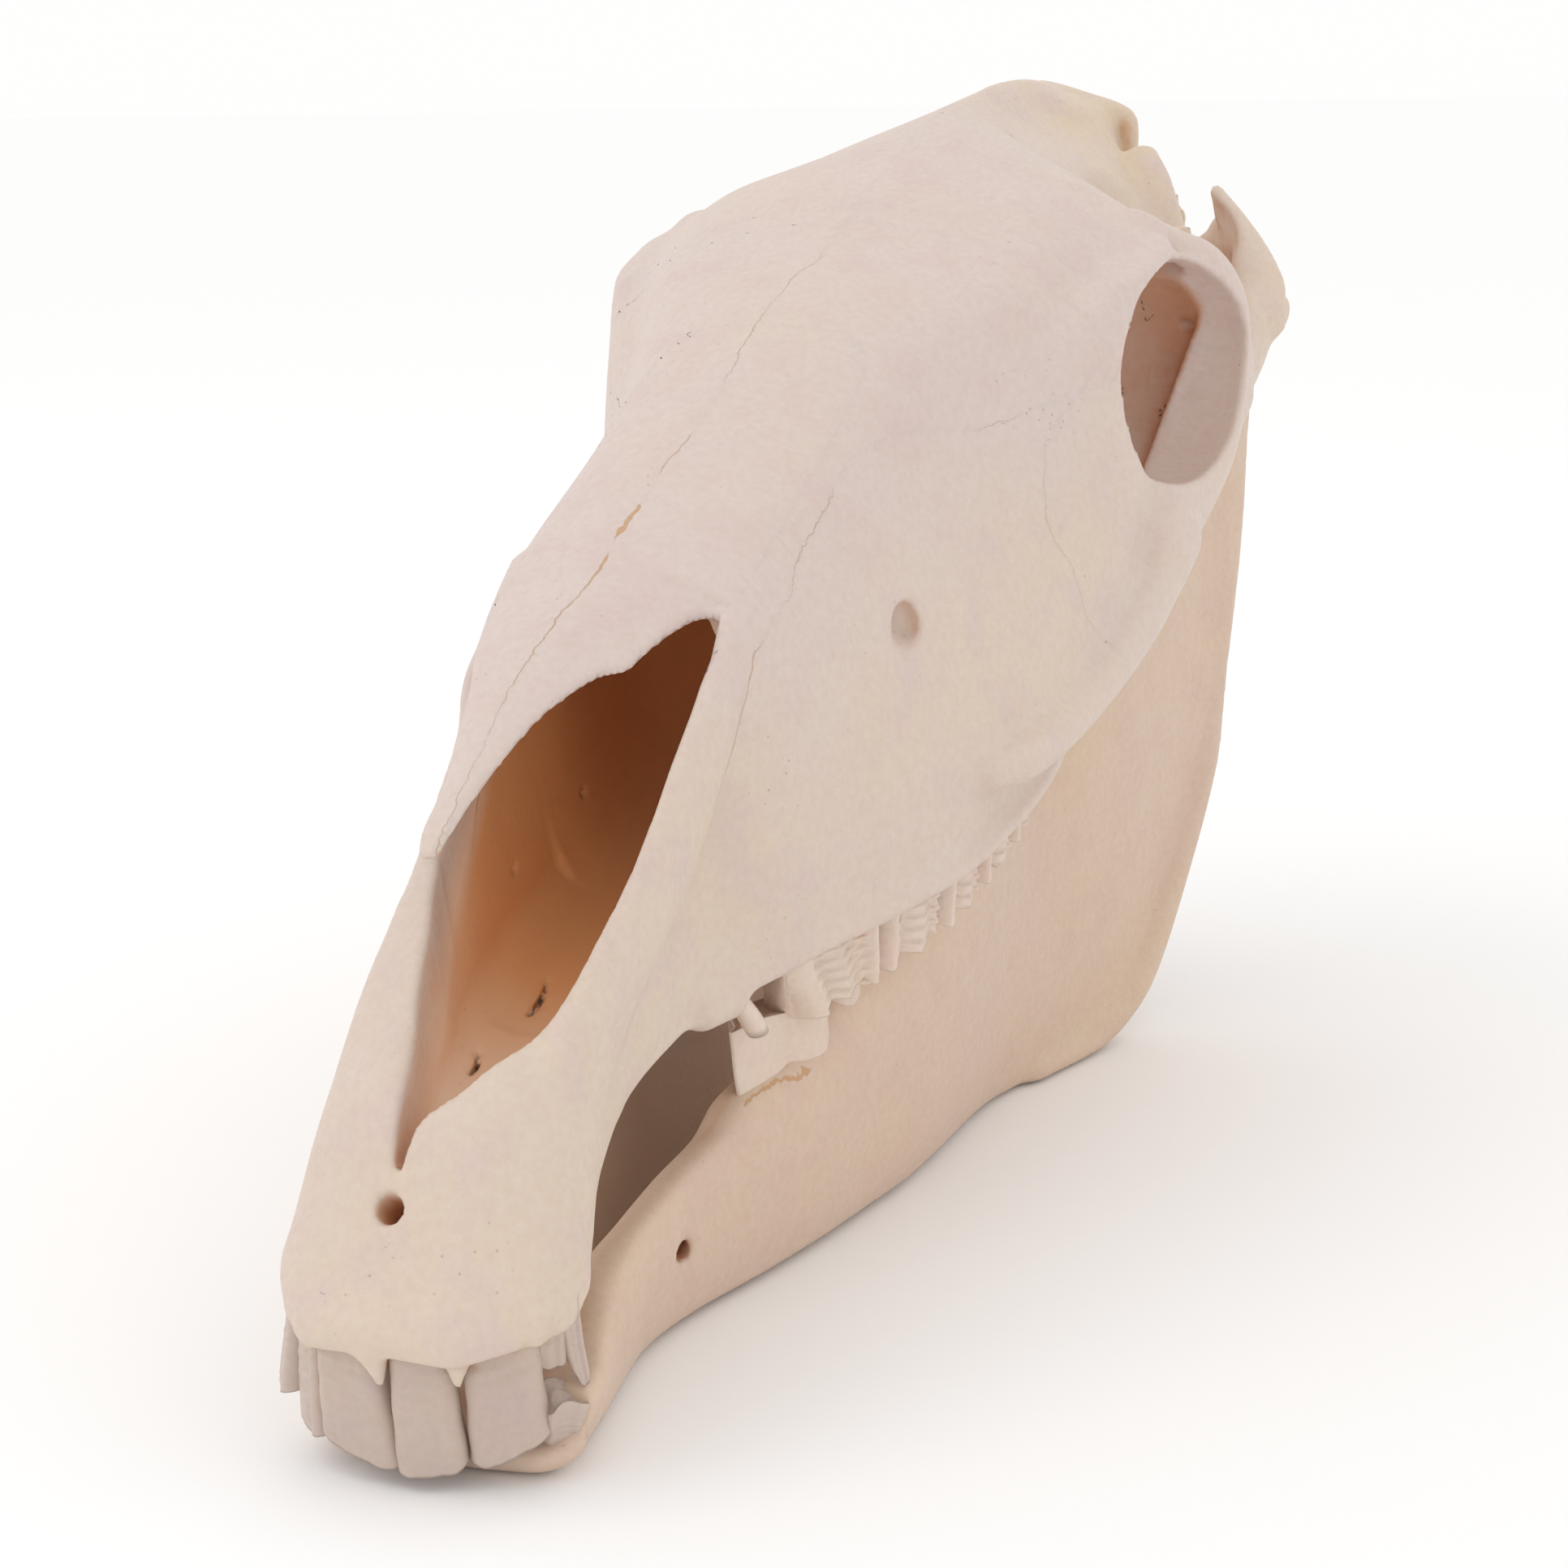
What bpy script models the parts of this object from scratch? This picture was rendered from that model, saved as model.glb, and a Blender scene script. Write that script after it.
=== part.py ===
"""Horse skull, life size: the cranium and the lower jaw that it rests on.

Every measure is in millimetres in the skull's own frame: x to the animal's left, u back from the
front of the upper jaw, z up from the roots of the cheek teeth. The finished skull is pitched nose
down until the lower border of the jaw lies on the floor, and is then scaled to metres.
"""

import math

import bmesh
import bpy
import numpy as np
from mathutils import Matrix, Vector

# Driving dimensions
PITCH = math.radians(14.5)        # nose-down lie of the skull on its lower jaw
FLOOR_LEVEL = -47.5               # level of the floor below the skull's datum, after the pitch
SUTURE = 0.3                      # gap between neighbouring bones
SLIVER = 0.03                     # shortest edge that a cut may leave
JAW_GAP = 0.6                     # gap between upper and lower teeth
VOXEL = 2.0                       # grain at which the bones' solids are fused
CRANIUM_TRIANGLES = 4650
JAW_TRIANGLES = 2000
FLAT_DEPTH = 0.6                  # depth of the small flats that the jaw lies on
BONE = (0.80, 0.72, 0.62, 1.0)
YELLOW_BONE = (0.80, 0.69, 0.52, 1.0)
ROUGHNESS = 0.55


def clear_scene():
    """Removes whatever the scene holds."""
    for old in list(bpy.data.objects):
        bpy.data.objects.remove(old, do_unlink=True)


# ---------------------------------------------------------------- curves and sections

def rail(stations):
    """A smooth curve through {station: value} that never overshoots its own points."""
    at = np.array(sorted(stations), float)
    value = np.array([stations[s] for s in sorted(stations)], float)
    step, rise = np.diff(at), np.diff(value)
    slope = rise / step
    tangent = np.zeros_like(value)
    tangent[0], tangent[-1] = slope[0], slope[-1]
    same = slope[:-1] * slope[1:] > 0
    weight_a, weight_b = 2 * step[1:] + step[:-1], step[1:] + 2 * step[:-1]
    safe_a, safe_b = np.where(same, slope[:-1], 1.0), np.where(same, slope[1:], 1.0)
    mean = (weight_a + weight_b) / (weight_a / safe_a + weight_b / safe_b)
    tangent[1:-1] = np.where(same, mean, 0.0)

    def read(u):
        i = int(np.clip(np.searchsorted(at, u) - 1, 0, len(step) - 1))
        t = float(np.clip((u - at[i]) / step[i], 0.0, 1.0))
        start = (1 + 2 * t) * (1 - t) ** 2 * value[i] + t * (1 - t) ** 2 * step[i] * tangent[i]
        end = t * t * (3 - 2 * t) * value[i + 1] - t * t * (1 - t) * step[i] * tangent[i + 1]
        return start + end

    return read


def smooth_path(points, steps, closed=False):
    """Points along a Catmull-Rom curve through the given points."""
    points = np.array(points, float)
    if closed:
        padded = np.vstack([points[-1], points, points[:2]])
    else:
        padded = np.vstack([2 * points[0] - points[1], points, 2 * points[-1] - points[-2]])
    out = []
    for a, b, c, d in zip(padded[:-3], padded[1:-2], padded[2:-1], padded[3:]):
        for t in np.arange(steps) / steps:
            cubic = (2 * b + (c - a) * t + (2 * a - 5 * b + 4 * c - d) * t ** 2
                     + (3 * b - a - 3 * c + d) * t ** 3)
            out.append(0.5 * cubic)
    if not closed:
        out.append(points[-1])
    return np.array(out)


def mesh_object(name, mesh, scaffold=True):
    """An object with the mesh; a scaffold is left out of the finished model."""
    obj = bpy.data.objects.new(name, mesh)
    bpy.context.collection.objects.link(obj)
    obj.hide_render = scaffold
    obj.display_type = "WIRE" if scaffold else "TEXTURED"
    return obj


def loft(name, rings):
    """A closed skin over rings of equal point counts, capped at both ends."""
    work = bmesh.new()
    loops = [[work.verts.new(Vector(point)) for point in ring] for ring in rings]
    count = len(rings[0])
    for front, back in zip(loops[:-1], loops[1:]):
        for i in range(count):
            j = (i + 1) % count
            work.faces.new((front[i], front[j], back[j], back[i]))
    work.faces.new(loops[0])
    work.faces.new(loops[-1][::-1])
    work.normal_update()
    bmesh.ops.triangulate(work, faces=work.faces[:])
    bmesh.ops.recalc_face_normals(work, faces=work.faces[:])
    mesh = bpy.data.meshes.new(name)
    work.to_mesh(mesh)
    work.free()
    return mesh_object(name, mesh)


def bar(name, path, thick, tall, steps=5, sides=14, up=(0, 0, 1)):
    """A round-edged bar along a path, with its half thickness and half height at each point."""
    line = smooth_path(path, steps)
    mark = np.linspace(0, len(path) - 1, len(line))
    widths = np.interp(mark, range(len(path)), thick)
    heights = np.interp(mark, range(len(path)), tall)
    tangents = np.gradient(line, axis=0)
    rings = []
    for point, tangent, half_width, half_height in zip(line, tangents, widths, heights):
        along = tangent / np.linalg.norm(tangent)
        side = np.cross(along, up)
        side /= np.linalg.norm(side)
        rise = np.cross(side, along)
        turn = np.linspace(0, 2 * math.pi, sides, endpoint=False)
        rings.append(point + np.outer(np.cos(turn) * half_width, side)
                     + np.outer(np.sin(turn) * half_height, rise))
    first, last = rings[0].mean(axis=0), rings[-1].mean(axis=0)
    ahead = tangents[0] / np.linalg.norm(tangents[0])
    behind = tangents[-1] / np.linalg.norm(tangents[-1])
    front = first + (rings[0] - first) * 0.5 - ahead * min(thick[0], tall[0]) * 0.8
    back = last + (rings[-1] - last) * 0.5 + behind * min(thick[-1], tall[-1]) * 0.8
    return loft(name, [front] + rings + [back])


def ellipsoid(name, centre, radii, turn=(0, 0, 0), detail=20):
    """A closed ellipsoid, turned by three angles in degrees."""
    work = bmesh.new()
    bmesh.ops.create_uvsphere(work, u_segments=detail, v_segments=detail // 2, radius=1.0)
    stretch = Matrix.Diagonal(Vector(radii)).to_4x4()
    for axis, angle in zip("XYZ", turn):
        stretch = Matrix.Rotation(math.radians(angle), 4, axis) @ stretch
    bmesh.ops.transform(work, matrix=Matrix.Translation(Vector(centre)) @ stretch, verts=work.verts[:])
    mesh = bpy.data.meshes.new(name)
    work.to_mesh(mesh)
    work.free()
    return mesh_object(name, mesh)


def prism(name, outline, x_low, x_high, grow=0.0):
    """A prism over a side-view outline of (u, z) points, from x_low to x_high, grown by an offset."""
    points = [Vector(point) for point in outline]
    area = sum(a.x * b.y - b.x * a.y for a, b in zip(points, points[1:] + points[:1]))
    turn = 1.0 if area > 0 else -1.0
    grown = []
    for i, here in enumerate(points):
        before = (here - points[i - 1]).normalized()
        after = (points[(i + 1) % len(points)] - here).normalized()
        out_before, out_after = Vector((before.y, -before.x)), Vector((after.y, -after.x))
        mitre = (out_before + out_after) / max(0.3, 1.0 + out_before.dot(out_after))
        grown.append(here + mitre * grow * turn)
    rings = [[(x, p.x, p.y) for p in grown] for x in (x_low - grow, x_high + grow)]
    return loft(name, rings)


def copy_of(obj, name, mirrored=False):
    """A copy of a solid, or of its mirror image across the skull's middle plane."""
    work = bmesh.new()
    work.from_mesh(obj.data)
    if mirrored:
        bmesh.ops.scale(work, vec=(-1, 1, 1), verts=work.verts[:])
        bmesh.ops.reverse_faces(work, faces=work.faces[:])
    mesh = bpy.data.meshes.new(name)
    work.to_mesh(mesh)
    work.free()
    return mesh_object(name, mesh)


def both_sides(obj):
    """The solid and its mirror image."""
    return [obj, copy_of(obj, obj.name + "_right", mirrored=True)]


def settle(obj):
    """Turns the object's modifiers into plain mesh."""
    graph = bpy.context.evaluated_depsgraph_get()
    done = bpy.data.meshes.new_from_object(obj.evaluated_get(graph))
    obj.modifiers.clear()
    obj.data = done
    return obj


def combine(obj, tools, operation):
    """Joins, cuts or crosses the object with the tools, one exact Boolean each."""
    for tool in tools:
        cut = obj.modifiers.new(operation.lower(), "BOOLEAN")
        cut.operation = operation
        cut.solver = "EXACT"
        cut.object = tool
    return settle(obj)


def drop_slivers(obj):
    """Merges corners that a cut left closer together than a sliver."""
    work = bmesh.new()
    work.from_mesh(obj.data)
    bmesh.ops.triangulate(work, faces=work.faces[:])
    bmesh.ops.remove_doubles(work, verts=work.verts[:], dist=SLIVER)
    bmesh.ops.dissolve_degenerate(work, edges=work.edges[:], dist=SLIVER)
    bmesh.ops.triangulate(work, faces=work.faces[:])
    work.to_mesh(obj.data)
    work.free()


def fuse(name, solids):
    """One skin round overlapping solids, softened where they meet."""
    work = bmesh.new()
    for solid in solids:
        work.from_mesh(solid.data)
    mesh = bpy.data.meshes.new(name)
    work.to_mesh(mesh)
    work.free()
    fused = mesh_object(name, mesh)
    remesh = fused.modifiers.new("one skin", "REMESH")
    remesh.mode = "VOXEL"
    remesh.voxel_size = VOXEL
    soften = fused.modifiers.new("soften", "SMOOTH")
    soften.factor = 0.5
    soften.iterations = 2
    return settle(fused)


def thin_out(obj, triangles):
    """Fewer triangles, kept where the form turns."""
    have = sum(len(face.vertices) - 2 for face in obj.data.polygons)
    fewer = obj.modifiers.new("thin out", "DECIMATE")
    fewer.ratio = min(1.0, triangles / have)
    return settle(obj)


# ---------------------------------------------------------------- cranium

# Half section of the cranium at each station, from the middle of the roof round to the palate:
# the roof's middle, its shoulder, flank and edge, the cheek, the undercut, the margin, the palate.
ROOF_Z = rail({2: -6, 14: 1, 27: 12, 42: 23, 60: 31, 90: 50, 115: 62, 135: 76, 154: 90, 170: 110,
               195: 117, 240: 126, 281: 136, 330: 143, 385: 151, 430: 155, 487: 151, 528: 143,
               545: 137, 553: 131})
SHOULDER_X = rail({2: 11, 14: 16, 60: 16, 90: 20, 135: 26, 170: 30, 240: 34, 310: 44, 345: 50,
                   406: 50, 420: 40, 437: 26, 459: 12, 487: 5, 510: 5, 528: 12, 553: 16})
SHOULDER_Z = rail({2: -7, 14: 0, 27: 11, 42: 26, 60: 35, 90: 54, 115: 65, 135: 79, 154: 90, 170: 104,
                   195: 110, 240: 118, 310: 134, 345: 138, 385: 144.5, 406: 146, 437: 150, 487: 148,
                   528: 140, 545: 134, 553: 130})
FLANK_X = rail({2: 17, 14: 27, 27: 32, 42: 31, 90: 30, 115: 32, 154: 36, 170: 40, 195: 44.5, 240: 52,
                310: 63, 345: 69, 392: 73, 406: 69, 420: 56, 437: 38, 459: 18, 487: 14, 510: 14,
                528: 22, 553: 26})
FLANK_Z = rail({2: -9, 14: -4, 27: 4, 42: 20, 60: 32, 90: 52, 115: 65, 135: 78, 154: 89, 170: 88,
                195: 88, 240: 97, 310: 117, 345: 126, 385: 132, 420: 139, 459: 144, 487: 138,
                510: 133, 528: 132, 553: 126})
EDGE_X = rail({2: 19, 14: 31, 27: 37, 42: 37, 60: 34, 90: 33, 115: 34, 135: 38, 154: 43, 170: 47,
               195: 53, 240: 63, 270: 67, 310: 74, 345: 79, 375: 85, 392: 86, 406: 82, 420: 65,
               437: 47, 459: 34, 487: 36, 510: 34, 528: 36, 545: 30, 553: 24})
EDGE_Z = rail({2: -11, 14: -9, 27: -4, 42: 8, 60: 20, 90: 40, 115: 50, 154: 62, 195: 60, 240: 68,
               310: 92, 345: 112, 360: 118, 375: 121, 406: 124, 420: 129, 437: 133, 459: 130,
               487: 122, 528: 117, 545: 108, 553: 119})
CHEEK_X = rail({2: 17, 14: 29, 27: 37, 42: 38, 60: 33, 90: 30, 115: 31, 135: 35, 154: 43, 195: 56,
                240: 74, 270: 79, 310: 83, 345: 86, 358: 85, 375: 60, 392: 55, 437: 48, 487: 50,
                528: 50, 545: 40, 553: 16})
CHEEK_Z = rail({2: -13, 27: -10, 42: -3, 60: 8, 90: 18, 135: 30, 154: 35, 195: 34, 240: 33, 310: 36,
                345: 55, 360: 60, 375: 95, 392: 105, 437: 110, 487: 102, 528: 95, 545: 88, 553: 116})
UNDERCUT_X = rail({2: 14, 14: 24, 27: 34, 42: 36, 60: 31, 90: 28, 115: 29, 154: 42, 195: 56, 240: 66,
                   310: 72, 345: 70, 358: 64, 375: 44, 392: 41, 420: 43, 459: 54, 487: 57, 510: 58,
                   528: 58, 545: 46, 553: 10})
UNDERCUT_Z = rail({2: -14, 27: -12, 42: -8, 60: 0, 90: 6, 154: 16, 240: 13, 310: 12, 345: 24,
                   375: 60, 392: 70, 459: 80, 487: 76, 528: 66, 553: 115})
MARGIN_X = rail({2: 10, 14: 18, 27: 28, 42: 29, 60: 26, 90: 24, 115: 26, 154: 39, 195: 53, 240: 60,
                 280: 65, 320: 62, 345: 52, 360: 42, 375: 36, 459: 36, 510: 40, 545: 32, 553: 6})
MARGIN_Z = rail({2: -14, 27: -13, 42: -10, 60: -2, 90: 2, 154: 2, 320: 0, 345: 8, 375: 32, 510: 34,
                 545: 40, 553: 114})
PALATE_Z = rail({2: -14, 27: -9, 42: -4, 60: 3, 90: 5, 154: 7, 240: 10, 300: 14, 375: 22, 420: 29,
                 487: 33, 528: 33, 545: 42, 553: 114})
STATIONS = ([2, 7, 14, 20, 27, 34, 42, 51, 60] + list(range(75, 346, 12)) + [350, 356, 362, 368, 374]
            + list(range(384, 540, 9)) + [545, 550, 553])

# Nasal bones: half width and thickness of the roof over the nose's opening
NASAL_HALF_WIDTH = rail({67: 3.5, 75: 6.5, 90: 9, 104: 10.5, 122: 14, 134: 17, 150: 23, 167: 31,
                         185: 34})
NASAL_Z = rail({67: 83, 79: 89, 103: 96, 123: 102, 141: 106, 174: 112, 185: 115})
NASAL_THICKNESS = 4.5
NASAL_STATIONS = [67, 71, 78, 90, 104, 115, 125, 134, 142, 150, 158, 167, 176, 185]

# Nasal cavity: floor, half width and ceiling
CAVITY_FLOOR = rail({37: 24, 45: 16, 60: 11, 100: 11, 150: 12, 220: 16, 262: 26, 285: 50})
CAVITY_HALF_WIDTH = rail({37: 3, 45: 8, 60: 14, 80: 20, 100: 24, 120: 27, 150: 31, 180: 33, 240: 36,
                          270: 26, 285: 10})
CAVITY_CEILING = rail({37: 120, 165: 120, 172: 106, 220: 115, 262: 112, 285: 90})
CAVITY_STATIONS = [37, 45, 52, 60, 80, 100, 120, 140, 158, 168, 180, 200, 220, 240, 262, 275, 285]

ORBIT_CENTRE = (87.0, 382.0, 90.0)
ORBIT_RADII = (44.0, 32.0, 30.0)
ORBIT_TURN = (0.0, -6.0, -22.0)
ORBIT_RIM = [(76, 347, 91), (80, 353, 72), (88, 369, 57), (95, 392, 61), (99, 413, 82),
             (95, 414, 104), (85, 399, 121), (78, 369, 116)]

TEETH_FRONT, TEETH_BACK = 153.0, 322.0
OCCLUSAL_Z = -15.5
INCISOR_EDGE_Z = -45.0
UPPER_ROW_X = rail({153: 41, 170: 46, 195: 54, 235: 61, 280: 65, 322: 62})
LOWER_ROW_X = rail({153: 31, 195: 40, 235: 46, 280: 52, 330: 54})


def cranium_section(u):
    """A closed ring through the control points of the half section and their mirror images."""
    half = [(0, ROOF_Z(u)), (SHOULDER_X(u), SHOULDER_Z(u)), (FLANK_X(u), FLANK_Z(u)),
            (EDGE_X(u), EDGE_Z(u)), (CHEEK_X(u), CHEEK_Z(u)), (UNDERCUT_X(u), UNDERCUT_Z(u)),
            (MARGIN_X(u), MARGIN_Z(u)), (0, PALATE_Z(u))]
    other = [(-x, z) for x, z in half[-2:0:-1]]
    ring = smooth_path(half + other, 4, closed=True)
    return [(x, u, z) for x, z in ring]


def nasal_section(u):
    """An arched plate: its top falls away from the middle by a square law."""
    across = np.linspace(-1, 1, 9)
    width = NASAL_HALF_WIDTH(u)
    fall = 0.30 * width * across ** 2
    top = [(x, u, z) for x, z in zip(across * width, NASAL_Z(u) - fall)]
    under = [(x * 0.97, u, z - NASAL_THICKNESS) for x, u, z in top]
    return top + under[::-1]


def cavity_section(u):
    """An upright rounded slot between floor and ceiling."""
    turn = np.linspace(0, 2 * math.pi, 24, endpoint=False)
    middle = (CAVITY_FLOOR(u) + CAVITY_CEILING(u)) / 2
    half_height = (CAVITY_CEILING(u) - CAVITY_FLOOR(u)) / 2
    x = CAVITY_HALF_WIDTH(u) * np.sign(np.cos(turn)) * np.abs(np.cos(turn)) ** 0.45
    z = middle + half_height * np.sign(np.sin(turn)) * np.abs(np.sin(turn)) ** 0.6
    return [(a, u, b) for a, b in zip(x, z)]


def tooth_row(name, row_x, low_z, high_z, width):
    """The cheek teeth of one side as one upright block that follows the row."""
    rings = []
    for u in np.linspace(TEETH_FRONT, TEETH_BACK, 19):
        outer = row_x(u)
        rings.append([(outer, u, low_z), (outer, u, high_z), (outer - width, u, high_z),
                      (outer - width, u, low_z)])
    return loft(name, rings)


def upper_incisors():
    """Three incisors a side, curved down and inwards along the front of the jaw."""
    teeth = []
    for number, (x, u) in enumerate([(9.8, 5), (27, 13), (35, 30)]):
        root = (x, u + 9, -4)
        neck = (x * 1.02, u + 1, -18)
        edge = (x * 0.96, u + 1, INCISOR_EDGE_Z + 4.2)
        tooth = bar("upper_incisor_%d" % number, [root, neck, edge], [9.4, 10.0, 8.6], [7, 7, 5.5],
                    up=(0, 1, 0.2))
        if number == 2:
            teeth.append(copy_of(tooth, "upper_incisor_right_%d" % number, mirrored=True))
            bpy.data.objects.remove(tooth)
        else:
            teeth += both_sides(tooth)
    return teeth


def build_cranium():
    """All the bones of the cranium as one solid, hollowed at the nose and the eyes."""
    solids = [loft("core", [cranium_section(u) for u in STATIONS])]
    left = [
        bar("facial_crest", [(80, 242, 27), (82, 275, 21), (87, 315, 24), (90, 345, 31),
                             (92, 368, 44)], [5, 6, 6, 6, 6], [6, 6, 7, 9, 12]),
        bar("zygomatic_bar", [(88, 360, 42), (92, 385, 49), (96, 415, 60), (97, 445, 72),
                              (93, 466, 80), (80, 486, 83), (56, 497, 82)],
            [6, 6, 6.5, 7, 9, 10, 12], [14, 13, 13, 12, 12, 10, 10]),
        bar("orbit_ring", ORBIT_RIM + ORBIT_RIM[:1], [4.5] * 9, [4.5] * 9),
        bar("eye_bar", [(76, 408, 127), (88, 414, 118), (95, 419, 102), (98, 419, 85),
                        (96, 416, 66)], [5, 5, 5, 5, 6], [7, 7, 7, 7, 9], up=(0, 1, 0.1)),
        bar("arch_peak", [(97, 456, 82), (94, 468, 98), (86, 478, 109), (79, 484, 116)],
            [6, 5, 3.5, 2.2], [13, 11, 7, 3]),
        ellipsoid("jaw_joint", (84, 474, 76), (17, 9, 7)),
        ellipsoid("arch_knob", (96, 479, 80), (6, 7, 6)),
        bar("temple_crest", [(52, 498, 84), (57, 504, 78), (56, 513, 84), (48, 520, 96),
                             (38, 527, 112), (28, 545, 123)], [6, 6, 6, 6, 6, 5], [8, 8, 8, 6, 5, 5]),
        bar("jugular_process", [(40, 512, 62), (47, 518, 38), (46, 523, 8), (43, 524, -14)],
            [9, 8, 6, 4], [9, 9, 7, 4], up=(1, 0, 0)),
        ellipsoid("occipital_condyle", (22, 535, 40), (15, 15, 20), (20, 0, 0)),
        ellipsoid("ear_bone", (52, 497, 56), (13, 14, 16)),
        bar("pterygoid_plate", [(33, 318, 14), (31, 345, 16), (28, 372, 26), (26, 395, 34)],
            [4, 4, 4, 5], [18, 16, 12, 8]),
        bar("pterygoid_hook", [(31, 345, 8), (33, 352, -4), (34, 356, -13)], [3.5, 3, 2.2], [5, 4, 2.2],
            up=(1, 0, 0)),
        tooth_row("upper_cheek_teeth", UPPER_ROW_X, OCCLUSAL_Z + JAW_GAP / 2, 12, 25),
        bar("wolf_tooth", [(36, 147, 8), (35, 145, -4), (34, 143, -12)], [2.8, 2.8, 1.8],
            [2.8, 2.8, 1.8], up=(0, 1, 0)),
    ]
    for solid in left:
        solids += both_sides(solid)
    solids += upper_incisors()
    cranium = fuse("cranium_blank", solids)
    cuts = [loft("nasal_cavity", [cavity_section(u) for u in CAVITY_STATIONS])]
    cuts += both_sides(ellipsoid("orbit", ORBIT_CENTRE, ORBIT_RADII, ORBIT_TURN))
    cuts += both_sides(bar("infraorbital_hole", [(66, 220, 77), (52, 236, 74)], [4.5, 4], [6, 5]))
    cuts += [bar("incisive_hole", [(0, 19, 16), (0, 33, 3)], [3.4, 3.4], [3.4, 3.4], up=(1, 0, 0)),
             bar("spinal_hole", [(0, 570, 52), (0, 525, 56), (0, 505, 62)], [17, 15, 10], [16, 15, 9])]
    combine(cranium, cuts, "DIFFERENCE")
    nasal = loft("nasal_roof", [nasal_section(u) for u in NASAL_STATIONS])
    return thin_out(fuse("cranium", [cranium, nasal]), CRANIUM_TRIANGLES)


# ---------------------------------------------------------------- lower jaw

# One side of the jaw is a rounded slab: height and sideways place of its upper and lower borders
JAW_TOP_Z = rail({14: -48, 30: -44, 60: -37, 86: -31, 120: -26, 150: -24, 235: -24, 325: -20,
                  340: -8, 362: 22, 385: 58, 405: 78, 430: 84, 455: 74, 473: 64})
JAW_LOW_Z = rail({14: -58, 30: -64, 60: -66.6, 90: -73, 150: -88, 200: -101, 250: -113, 290: -123,
                  320: -134, 362: -144.5, 385: -142, 410: -127, 430: -104, 446: -76, 457: -35,
                  465: 0, 473: 40})
JAW_TOP_X = rail({14: 18, 30: 22, 60: 20, 90: 17, 120: 19, 150: 21, 235: 33, 325: 44, 362: 58,
                  405: 70, 440: 78, 473: 82})
JAW_LOW_X = rail({14: 12, 30: 17, 60: 14, 90: 15, 150: 24, 200: 30, 230: 33, 300: 34, 333: 40, 385: 52,
                  430: 64, 465: 77, 473: 80})
JAW_HALF_THICKNESS = rail({14: 11, 30: 14, 60: 12, 90: 9, 150: 11, 235: 12.5, 300: 10, 345: 7,
                           400: 5, 440: 6, 473: 8})
JAW_STATIONS = [14, 20, 30, 42, 60, 75] + list(range(90, 468, 12)) + [473]


def jaw_section(u):
    """A rounded slab that leans from its lower border to its upper one."""
    turn = np.linspace(0, 2 * math.pi, 20, endpoint=False)
    across = np.sign(np.cos(turn)) * np.abs(np.cos(turn)) ** 0.7
    rise = np.sign(np.sin(turn)) * np.abs(np.sin(turn)) ** 0.8
    middle_x, lean = (JAW_TOP_X(u) + JAW_LOW_X(u)) / 2, (JAW_TOP_X(u) - JAW_LOW_X(u)) / 2
    middle_z, half_height = (JAW_TOP_Z(u) + JAW_LOW_Z(u)) / 2, (JAW_TOP_Z(u) - JAW_LOW_Z(u)) / 2
    x = middle_x + lean * rise + JAW_HALF_THICKNESS(u) * across
    return [(a, u, b) for a, b in zip(x, middle_z + half_height * rise)]


def build_jaw():
    """Both halves of the lower jaw, fused at the chin, with their teeth."""
    left = [
        loft("jaw_side", [jaw_section(u) for u in JAW_STATIONS]),
        bar("coronoid", [(70, 398, 66), (73, 412, 92), (76, 428, 110), (78, 443, 117)],
            [4, 3.5, 3, 2.4], [16, 13, 10, 5]),
        bar("condyle_neck", [(81, 460, 40), (80, 470, 56), (79, 474, 63)], [12, 15, 17], [9, 8, 6],
            up=(0, 1, 0)),
        bar("condyle", [(63, 476, 62), (78, 474, 63), (94, 472, 63)], [6, 7, 6], [5, 5.5, 5]),
        bar("angle_border", [(41, 330, -130), (48, 362, -137), (57, 393, -130), (64, 424, -104),
                             (71, 446, -72)], [7, 8, 8, 7, 6], [6, 7, 8, 7, 6]),
        tooth_row("lower_cheek_teeth", LOWER_ROW_X, -44, OCCLUSAL_Z - JAW_GAP / 2, 18),
    ]
    solids = []
    for solid in left:
        solids += both_sides(solid)
    solids.append(bar("chin", [(0, 18, -55), (0, 45, -54), (0, 75, -54), (0, 92, -55)],
                      [22, 24, 18, 12], [8, 12, 15, 10]))
    for number, (x, u) in enumerate([(9, 10), (24, 17), (31, 32)]):
        solids += both_sides(bar("lower_incisor_%d" % number, [(x, u + 10, -60), (x, u + 2, -55),
                                 (x, u + 1, INCISOR_EDGE_Z - 4)], [8.6, 8.6, 8], [5, 5.5, 4.5], up=(0, 1, 0.2)))
    jaw = fuse("jaw_blank", solids)
    hole = bar("mental_hole", [(33, 104, -47), (20, 118, -52)], [3.2, 3], [4, 3.5])
    combine(jaw, both_sides(hole), "DIFFERENCE")
    return thin_out(fuse("jaw", [jaw]), JAW_TRIANGLES)


# ---------------------------------------------------------------- bones as separate nodes

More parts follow.
